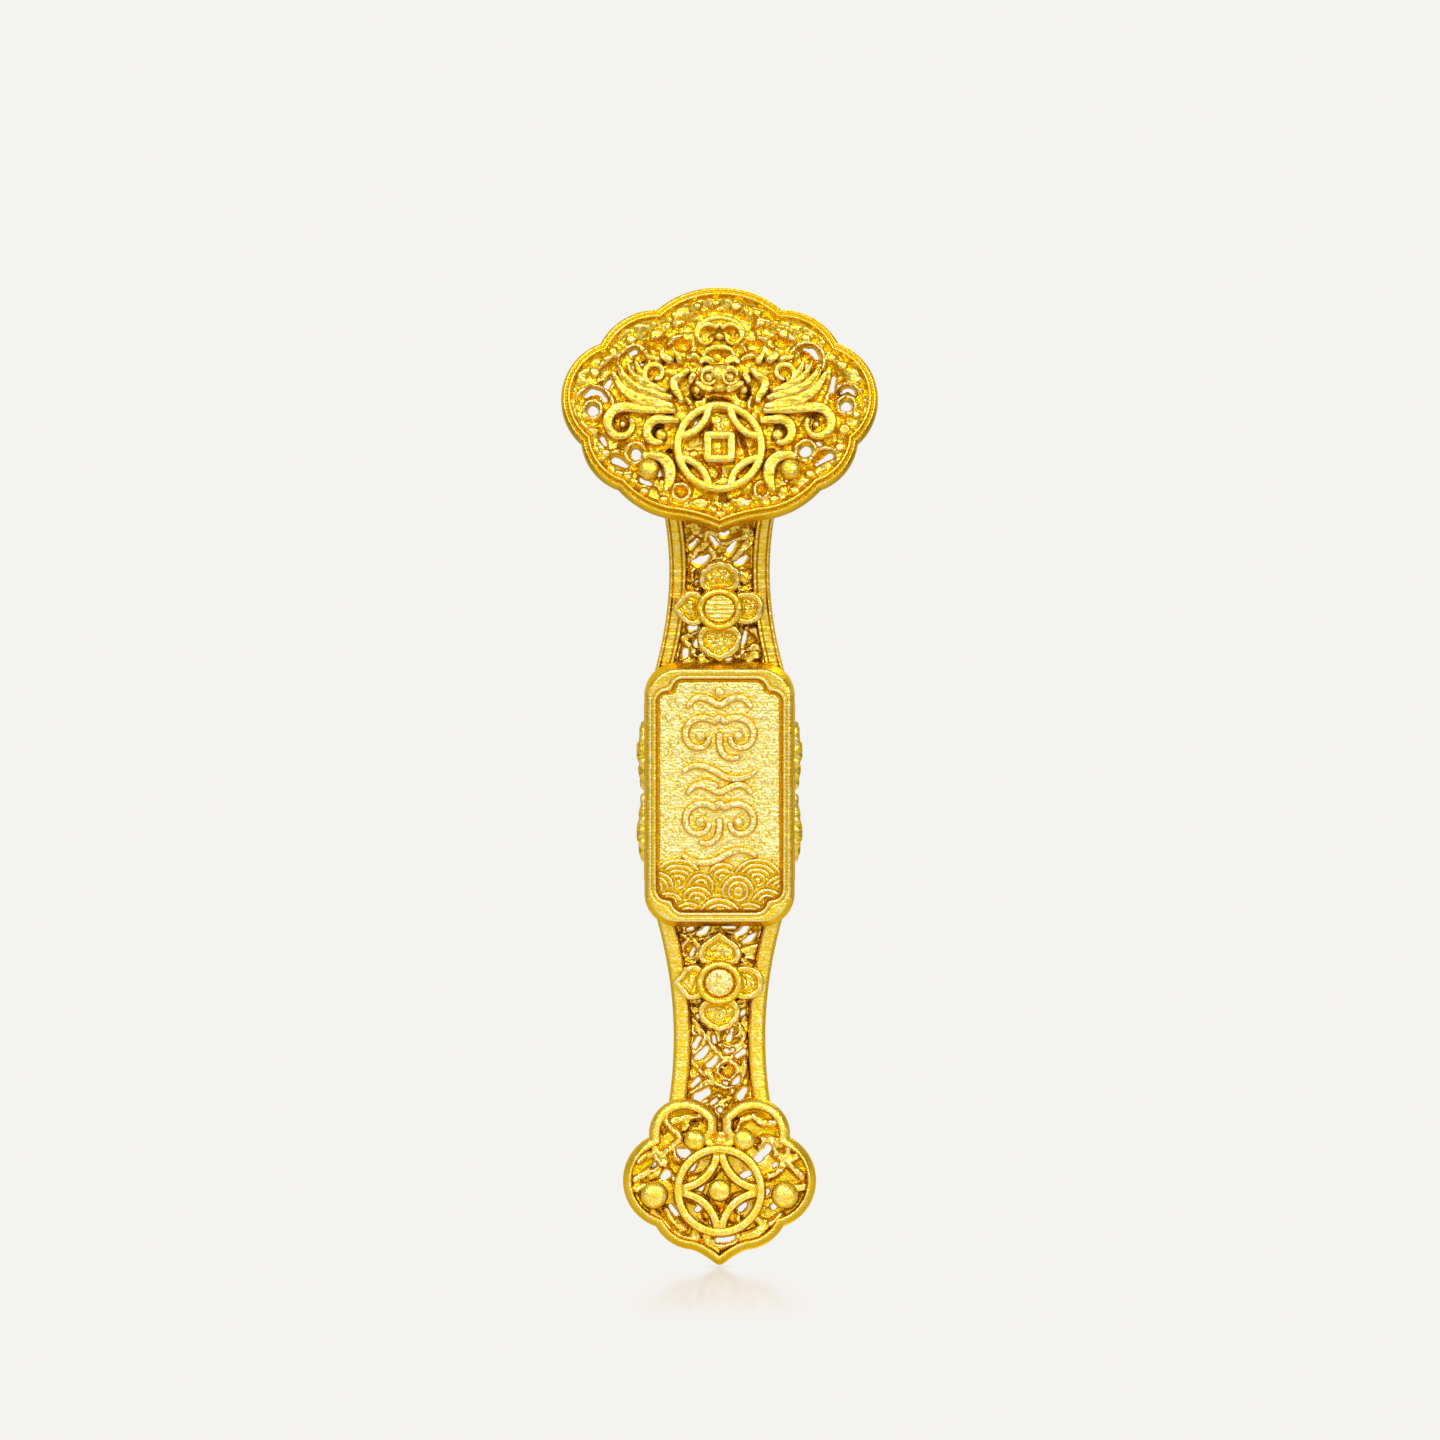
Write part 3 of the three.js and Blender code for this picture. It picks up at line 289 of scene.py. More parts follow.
# Smooth noise from -1 to 1: random values on the lattice, eased between its corners
def softNoise(a, b, cell, seed):
    values = np.random.default_rng(seed).uniform(-1, 1, (lattice, lattice))
    u, v = a / cell, b / cell
    i, j = np.floor(u).astype(int), np.floor(v).astype(int)
    u, v = u - i, v - j
    u, v = u * u * (3 - 2 * u), v * v * (3 - 2 * v)
    left, right, under, over = i % lattice, (i + 1) % lattice, j % lattice, (j + 1) % lattice
    low = values[left, under] * (1 - u) + values[right, under] * u
    high = values[left, over] * (1 - u) + values[right, over] * u
    return low * (1 - v) + high * v


# Crumbs from 0 to 1: a jittered dome in each lattice cell, and the tallest one over each point. Radii, as
# shares of the cell, and heights run from a least value over a span
crumbForm = {"shift": 1.4, "jitter": 0.8, "radius": (0.42, 0.4), "height": (0.35, 0.65)}


def crumbs(a, b, cell, seed):
    dice = np.random.default_rng(seed).random((4, lattice, lattice))
    shift, jitter = crumbForm["shift"], crumbForm["jitter"]
    (least, span), (low, rest) = crumbForm["radius"], crumbForm["height"]
    i, j = np.floor(a / cell).astype(int), np.floor(b / cell).astype(int)
    tallest = np.zeros(np.shape(a))
    for p, q in np.ndindex(3, 3):
        side, up, size, rise = dice[:, (i + p - 1) % lattice, (j + q - 1) % lattice]
        far = np.hypot(a / cell - (i + p - shift + jitter * side), b / cell - (j + q - shift + jitter * up))
        dome = np.sqrt(np.clip(1 - (far / (least + span * size)) ** 2, 0, None))
        tallest = np.maximum(tallest, dome * (low + rest * rise))
    return tallest


# Points along a flat arc between two points that rises bulge times its chord, its start left out
def arcBetween(start, end, bulge, step):
    start, end = np.array(start, float), np.array(end, float)
    chord = end - start
    length = np.hypot(*chord)
    count = max(1, math.ceil(length * (1 + 2 * abs(bulge)) / step))
    t = np.arange(1, count + 1)[:, None] / count
    if bulge == 0:
        return start + chord * t
    rise = bulge * length
    radius = length ** 2 / (8 * rise) + rise / 2
    centre = (start + end) / 2 + np.array((-chord[1], chord[0])) / length * (rise - radius)
    angle = -4 * math.atan(2 * bulge) * t
    x, y = start - centre
    return centre + np.hstack((x * np.cos(angle) - y * np.sin(angle),
                               x * np.sin(angle) + y * np.cos(angle)))


# A closed clockwise outline of arcs down the right side, mirrored to the left
def lobedOutline(form):
    size = np.array((form["width"] / 2, form["height"] / 2))
    right = [np.array([form["crown"]]) * size]
    for x, y, bulge in form["lobes"]:
        right.append(arcBetween(right[-1][-1], size * (x, y), bulge, form["step"]))
    right = np.concatenate(right)
    return np.concatenate((right, right[-2:0:-1] * (-1, 1)))


# A clockwise outline moved inwards along its corners' bisectors, by the distance over the cosine of half the
# corner's turn, and never across the middle line
def insetLoop(loop, distance, leastCosine=0.6):
    ahead = np.roll(loop, -1, 0) - loop
    ahead /= np.hypot(*ahead.T)[:, None]
    middle = ahead + np.roll(ahead, 1, 0)
    middle /= np.hypot(*middle.T)[:, None]
    mitre = distance / np.clip(np.sum(middle * ahead, 1), leastCosine, 1)
    moved = loop + np.stack((middle[:, 1], -middle[:, 0]), 1) * mitre[:, None]
    side = np.sign(np.where(np.abs(loop[:, 0]) < 1e-6, 0, loop[:, 0]))
    moved[:, 0] = side * np.maximum(side * moved[:, 0], 0)
    return moved


# A closed section with its corners cut at a quarter of each side, over some rounds, which rounds them
def softSection(points, rounds=2):
    points = np.array(points, float)
    for _ in range(rounds):
        after = np.roll(points, -1, 0)
        points = np.stack((0.75 * points + 0.25 * after, 0.25 * points + 0.75 * after), 1).reshape(-1, 2)
    return points


# A smooth path along given points: corners cut at a quarter of each side, then points at an even step
def softPath(points, step=0.12, rounds=4):
    points = np.array(points, float)
    for _ in range(rounds):
        cut = np.stack((0.75 * points[:-1] + 0.25 * points[1:], 0.25 * points[:-1] + 0.75 * points[1:]), 1)
        points = np.concatenate((points[:1], cut.reshape(-1, 2), points[-1:]))
    along = np.concatenate(([0], np.cumsum(np.hypot(*np.diff(points, axis=0).T))))
    even = np.linspace(0, along[-1], max(4, math.ceil(along[-1] / step)))
    return np.stack((np.interp(even, along, points[:, 0]), np.interp(even, along, points[:, 1])), 1)


# A spiral whose radius runs evenly from the first to the second over the sweep, angles in degrees, with a
# point every six of them
def spiral(centre, radii, start, sweep):
    t = np.linspace(0, 1, max(8, math.ceil(abs(sweep) / 6)))
    angle = np.radians(start + sweep * t)
    radius = radii[0] + (radii[1] - radii[0]) * t
    return np.array(centre) + np.stack((radius * np.cos(angle), radius * np.sin(angle)), 1)


# A closed ring: a full turn at one radius
def ringPath(centre, radius):
    return spiral(centre, (radius, radius), 0, 360)


# A path with its across times the side, 1 or -1, which mirrors it for the left hand
def handed(path, side):
    return np.array(path, float) * (side, 1)


# A rim: a closed section of (distance in from the outline, height) carried round the outline, widened by a
# factor at each of its points and lifted by a share of the given lifts
def rimShell(outline, section, place, wobble=0.0, widen=1.0, lifts=0.0, share=0.0):
    rings = np.stack([insetLoop(outline, inwards * widen) for inwards, _ in section])
    heights = np.array(section)[:, 1, None] + np.multiply.outer(lifts, share)
    heights = heights + wobble * softNoise(rings[..., 0], rings[..., 1], cell=0.9, seed=5)
    points = place(rings[..., 0], rings[..., 1], heights).reshape(-1, 3)
    return points, gridFaces(*rings.shape[:2], closeRows=True, closeCols=True)


# A ribbon: a section carried along a flat path, with a slightly crowned top between two flanks whose width is
# a share of half. half is its half width along the path. It closes on itself where the path does, and
# otherwise both ends close in a round nose. Over base it rises by rise, under it the root goes down by root
ribbonForm = {"crown": 0.14, "noseHeight": 0.35, "rootSteps": 6, "leastHalf": 0.05, "noiseCell": 0.45}


def ribbonShell(path, half, base, rise, root, place, flank=0.5, sides=18, wobble=0.02, seed=1):
    crown, low, least = ribbonForm["crown"], ribbonForm["noseHeight"], ribbonForm["leastHalf"]
    path = np.array(path, float)
    closed = np.hypot(*(path[0] - path[-1])) < 0.01
    path = path[:-1] if closed else path
    ahead = np.roll(path, -1, 0) - np.roll(path, 1, 0) if closed else np.gradient(path, axis=0)
    ahead /= np.hypot(*ahead.T)[:, None]
    along = np.concatenate(([0], np.cumsum(np.hypot(*np.diff(path, axis=0).T))))
    half = np.interp(along / along[-1], np.linspace(0, 1, np.size(half)), np.atleast_1d(half))
    nose = np.minimum(along / max(half[0], least), (along[-1] - along) / max(half[-1], least))
    nose = np.sqrt(1 - (1 - np.clip(np.maximum(nose, closed), 0.004, 1)) ** 2)[:, None]
    top = np.sin(np.linspace(0.5, -0.5, sides) * math.pi)
    under = np.linspace(-1, 1, ribbonForm["rootSteps"] + 2)[1:-1]
    edge = np.clip((1 - np.abs(top)) / flank, 0, 1)
    raised = rise * ((1 - crown) * edge * edge * (3 - 2 * edge) + crown * (1 - top * top))
    across, up = np.concatenate((top, under)), np.concatenate((raised, -root * np.sqrt(1 - under * under)))
    wide = half[:, None] * nose * across
    a = path[:, :1] - ahead[:, 1:] * wide
    b = path[:, 1:] + ahead[:, :1] * wide
    c = base + up * np.where(up > 0, low + (1 - low) * nose, 1)
    c = c + wobble * softNoise(a, b, ribbonForm["noiseCell"], seed) * (up > 0)
    faces = gridFaces(*c.shape, closeRows=True, closeCols=True) if closed else tubeFaces(*c.shape)
    return place(a, b, c).reshape(-1, 3), faces


# A turned shell: a profile of (radius, height) from axis to axis, spun round a centre and squeezed to an
# ellipse of the given half sizes. If ridges have a height, they lie level on it out to a reach
turnedForm = {"leastRadius": 0.004, "ridgePitch": 0.5, "ridgeReach": 0.9, "noiseCell": 0.4}


def turnedShell(profile, centre, sizes, place, sides=40, wobble=0.0, seed=1, ridges=0.0):
    profile = np.array(profile, float)
    angle = np.linspace(0, 2 * math.pi, sides, endpoint=False)
    radius = np.maximum(profile[:, :1], turnedForm["leastRadius"])
    a, b = centre[0] + radius * np.cos(angle) * sizes[0], centre[1] + radius * np.sin(angle) * sizes[1]
    wave = np.sin(2 * math.pi / turnedForm["ridgePitch"] * b)
    ridge = ridges * wave * (radius < turnedForm["ridgeReach"])
    c = profile[:, 1:] + wobble * softNoise(a, b, turnedForm["noiseCell"], seed) + ridge
    return place(a, b, c).reshape(-1, 3), tubeFaces(*c.shape)


# Profile of a dome that stands on a short wall: from its foot on the axis to its crown
def domeProfile(foot, base, rise, steps=10):
    t = np.linspace(0, math.pi / 2, steps)
    dome = np.stack((np.cos(t), base + rise * np.sin(t)), 1)
    return np.concatenate(([[0, foot], [0.6, foot], [1, foot]], dome))


# A flat grid of (across, along) points at an even pitch
def flatGrid(low, high, pitch):
    counts = np.ceil((np.array(high) - low) / pitch).astype(int) + 1
    across, along = (start + pitch * np.arange(count) for start, count in zip(low, counts))
    return np.meshgrid(across, along, indexing="ij")


# The depth that a field starts from, well outside every stroke and loop
outside = -0.8


# For each grid point, how far it lies inside a stroke, in mm and as a share of the half width there: half
# width less distance, at best over the path's points, which are taken in parts
def strokeField(gridX, gridY, path, half, reach=0.8, perPart=24):
    path = np.array(path, float)
    half = np.interp(np.linspace(0, 1, len(path)), np.linspace(0, 1, np.size(half)), np.atleast_1d(half))
    depth, share = np.full(gridX.shape, -float(reach)), np.full(gridX.shape, -1.0)
    for part in np.array_split(np.arange(len(path)), math.ceil(len(path) / perPart)):
        low = path[part].min(0) - half[part].max() - reach
        high = path[part].max(0) + half[part].max() + reach
        i = np.flatnonzero((gridX[:, 0] > low[0]) & (gridX[:, 0] < high[0]))
        j = np.flatnonzero((gridY[0] > low[1]) & (gridY[0] < high[1]))
        if not (i.size and j.size):
            continue
        spot = np.ix_(i, j)
        far = np.hypot(gridX[spot][..., None] - path[part, 0], gridY[spot][..., None] - path[part, 1])
        depth[spot] = np.maximum(depth[spot], (half[part] - far).max(-1))
        share[spot] = np.maximum(share[spot], (1 - far / np.maximum(half[part], 1e-6)).max(-1))
    return depth, share


# For each grid point, how far it lies inside a loop that can be seen whole from its middle: the distance to
# the loop, taken as inside where the point is nearer the middle than the loop is at that angle
def loopField(gridX, gridY, loop):
    depth = strokeField(gridX, gridY, np.concatenate((loop, loop[:1])), half=0.0, reach=60)[0]
    angle = np.arctan2(loop[:, 1], loop[:, 0])
    order = np.argsort(angle)
    edge = np.interp(np.arctan2(gridY, gridX), angle[order], np.hypot(*loop[order].T), period=2 * math.pi)
    return np.where(np.hypot(gridX, gridY) < edge, -depth, depth)


# A rounded step from 0 at a stroke's edge to 1 at the given depth inside it
def shoulder(depth, wide):
    t = np.clip(depth / wide, 0, 1)
    return np.sqrt(1 - (1 - t) ** 2)


# The larger of two fields, blended over a width so that strokes weld where they meet
def weld(first, second, wide=0.12):
    near = np.clip(wide - np.abs(first - second), 0, None)
    return np.maximum(first, second) + near * near / (4 * wide)


# A sheet: front and back heights on a grid, cut where cover falls below zero. Grid points just outside are
# drawn up the cover's slope onto the cut line, by a cell's diagonal at most. There front and back share one
# point at the given level
def sheetShell(gridX, gridY, cover, front, back, level, place):
    pitch = gridX[1, 0] - gridX[0, 0]
    inside = cover > 0
    padded = np.pad(inside, 1)
    grown = np.zeros_like(inside)
    for p, q in np.ndindex(3, 3):
        grown |= padded[p:p + gridX.shape[0], q:q + gridX.shape[1]]
    edge = grown & ~inside
    slopeA, slopeB = np.gradient(cover, pitch)
    leastSlope, diagonal = 0.3, 1.42 * pitch
    slope = np.maximum(np.hypot(slopeA, slopeB), leastSlope)
    pull = np.where(edge, np.minimum(-cover / slope, diagonal), 0)
    a, b = gridX + pull * slopeA / slope, gridY + pull * slopeB / slope
    level = np.broadcast_to(level, gridX.shape)
    top, bottom = np.where(edge, level, front), np.where(edge, level, back)
    cells = inside[:-1, :-1] | inside[1:, :-1] | inside[:-1, 1:] | inside[1:, 1:]
    frontIndex = np.cumsum(grown).reshape(gridX.shape) - 1
    backIndex = np.where(inside, grown.sum() + np.cumsum(inside).reshape(gridX.shape) - 1, frontIndex)
    corners = [(slice(None, -1), slice(None, -1)), (slice(1, None), slice(None, -1)),
               (slice(1, None), slice(1, None)), (slice(None, -1), slice(1, None))]
    frontFaces = np.stack([frontIndex[c][cells] for c in corners], 1)
    backFaces = np.stack([backIndex[c][cells] for c in corners[::-1]], 1)
    points = np.concatenate((place(a, b, top)[grown], place(a, b, bottom)[inside]))
    return points, [np.concatenate((frontFaces, backFaces))]


# The stem's bend, as the solids have it: straight behind the tablet, an arc forwards, then straight
stemBend = {
    1: {"start": 15.35, "end": 31.0, "radius": 60.0},
    -1: {"start": 15.35, "end": 30.0, "radius": 120.0},
}


# A point of the stem: x across, s along from the middle (up is positive), h forward from its back.
# Past the start of the bend the angle is arc length over radius
def stemPlace(x, s, h):
    x, s, h = np.broadcast_arrays(np.asarray(x, float), np.asarray(s, float), np.asarray(h, float))
    result = np.zeros(x.shape + (3,))
    for side, bend in stemBend.items():
        far = np.abs(s)
        angle = np.clip(far - bend["start"], 0, bend["end"] - bend["start"]) / bend["radius"]
        straight = np.maximum(far - bend["end"], 0)
        forward = bend["radius"] * (1 - np.cos(angle)) + straight * np.sin(angle)
        reach = np.minimum(far, bend["start"]) + bend["radius"] * np.sin(angle) + straight * np.cos(angle)
        spot = np.stack((x, -forward - h * np.cos(angle), side * (reach - h * np.sin(angle))), -1)
        result = np.where(((s >= 0) == (side > 0))[..., None], spot, result)
    return result * mm


# A flat plane of the object: a across, b up its face, c out of its face, leaning by the given angle
def leaningPlace(y, z, lean):
    def place(a, b, c):
        a, b, c = np.broadcast_arrays(np.asarray(a, float), np.asarray(b, float), np.asarray(c, float))
        along = y + b * math.sin(lean) - c * math.cos(lean)
        return np.stack((a, along, z + b * math.cos(lean) + c * math.sin(lean)), -1) * mm
    return place


# A quarter turn of flat points, k times
def quarterTurn(points, k):
    cosine, sine = math.cos(k * math.pi / 2), math.sin(k * math.pi / 2)
    return np.array(points, float) @ np.array([[cosine, sine], [-sine, cosine]])


# Pierced relief on a grid. The ground is a floor of crumbs that banks up towards the cover's edge. Bars are
# domed, slightly lumpy strokes over it, patches are flat ragged leaves on it, pits are strokes pressed into
# it and holes are strokes cut through it. Here is what all such sheets share, in mm: roughness as (height,
# size), the thickness left at an edge and its rounding, and how far holes draw back
reliefForm = {
    "swell": (0.12, 1.3), "lump": (0.24, 0.66), "smallLump": (0.08, 0.36), "leafEdge": (0.3, 0.7),
    "holeEdge": (0.08, 0.5), "edge": 0.3, "edgeRound": 0.3, "holeGap": 0.02, "backCrumb": 0.1,
    "backCell": 0.6, "leafSize": 1.1, "leafSquash": 0.8, "leafLumps": 0.25, "leafRound": 0.4,
    "pitSlope": 1.5, "pitReach": 0.3,
}


def reliefSheet(form, gridX, gridY, cover, place, seed):
    common = reliefForm

    def rough(kind, step):
        height, cell = common[kind]
        return height * softNoise(gridX, gridY, cell, seed + step)

    bank = np.clip(1 - cover / form["bankWide"], 0, 1)
    bank = bank * (2 - bank)
    crumbRise = form["crumb"] * bank + form["grit"] * (1 - bank)
    front = form["floor"] + form["bank"] * bank
    front = front + crumbRise * crumbs(gridX, gridY, form["cell"], seed)
    front = front + rough("swell", 2)
    for points, half in form["pits"]:
        share = strokeField(gridX, gridY, softPath(points), half)[1]
        front = front - form["pit"] * np.clip(common["pitSlope"] * (share + common["pitReach"]), 0, 1)
    level = form["back"] + common["edge"]
    front = np.maximum(front, level)
    lumps = rough("lump", 3) + rough("smallLump", 4)
    for points, half, rise in form["bars"]:
        share = strokeField(gridX, gridY, softPath(points), form["broad"] * np.array(half))[1]
        share = np.clip(share, 0, 1)
        dome = form["floor"] + (form["lift"] * rise + lumps) * (1 - (1 - share) ** 2) ** form["flat"]
        front = np.where(share > 0, np.maximum(front, dome), front)
    for x, y, radius in form["patches"]:
        far = np.hypot(gridX - x, (gridY - y) / common["leafSquash"])
        share = np.clip(1 - far / (radius * (common["leafSize"] + rough("leafEdge", 7))), 0, 1)
        leaf = form["floor"] + form["leaf"] + common["leafLumps"] * lumps
        leaf = form["floor"] + (leaf - form["floor"]) * shoulder(share, common["leafRound"])
        front = np.maximum(front, np.where(share > 0, leaf, 0))
    for points, half in form["holes"]:
        depth = strokeField(gridX, gridY, softPath(points), half)[0]
        cover = np.minimum(cover, common["holeGap"] - depth + rough("holeEdge", 5))
    back = form["back"] + common["backCrumb"] * crumbs(gridX, gridY, common["backCell"], seed + 6)
    soft = shoulder(cover, common["edgeRound"])
    return sheetShell(gridX, gridY, cover, level + (front - level) * soft, level + (back - level) * soft,
                      level, place)


# Relief inside a lobed outline
def groundSheet(form, loop, place, seed):
    size = np.abs(loop).max(0)
    gridX, gridY = flatGrid(-size, size, form["pitch"])
    return reliefSheet(form, gridX, gridY, loopField(gridX, gridY, loop) - form["inset"], place, seed)


# Head: the lobed rim
headForm = {
    "width": 32.26, "height": 25.0, "step": 0.16, "crown": (0, 1), "lean": math.radians(9), "place": 38.95,
    "trimFoot": 1.9,        # how deep domes on the head are rooted
    "lobes": [(0.395, 0.816, 0.093), (0.753, 0.538, 0.14), (0.873, -0.28, 0.285),
              (0.638, -0.655, 0.14), (0.284, -0.896, 0.09), (0, -1, -0.04)],
    # (distance in, height): back, outer wall, sloping lip, groove, crest and inner wall down to the ledge
    "section": [(0.3, 0.02), (0.0, 0.4), (0.0, 1.5), (0.03, 2.3), (0.12, 2.75), (0.24, 3.0), (0.44, 3.06),
                (0.53, 2.82), (0.62, 3.0), (0.7, 3.52), (0.76, 3.64), (0.94, 3.64), (1.0, 3.5),
                (1.14, 3.15), (1.3, 3.0), (1.55, 2.8), (1.7, 2.3), (1.75, 1.1), (1.9, 1.0), (1.95, 0.05)],
}
headBack = headForm["height"] / 2 * math.sin(headForm["lean"]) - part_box("head_rim")[1].y / mm
headPlace = leaningPlace(-headBack, headForm["place"], headForm["lean"])
headLoop = lobedOutline(headForm)
makePiece("head_rim", [rimShell(headLoop, softSection(headForm["section"]), headPlace, 0.01)],
          "satin_gold")

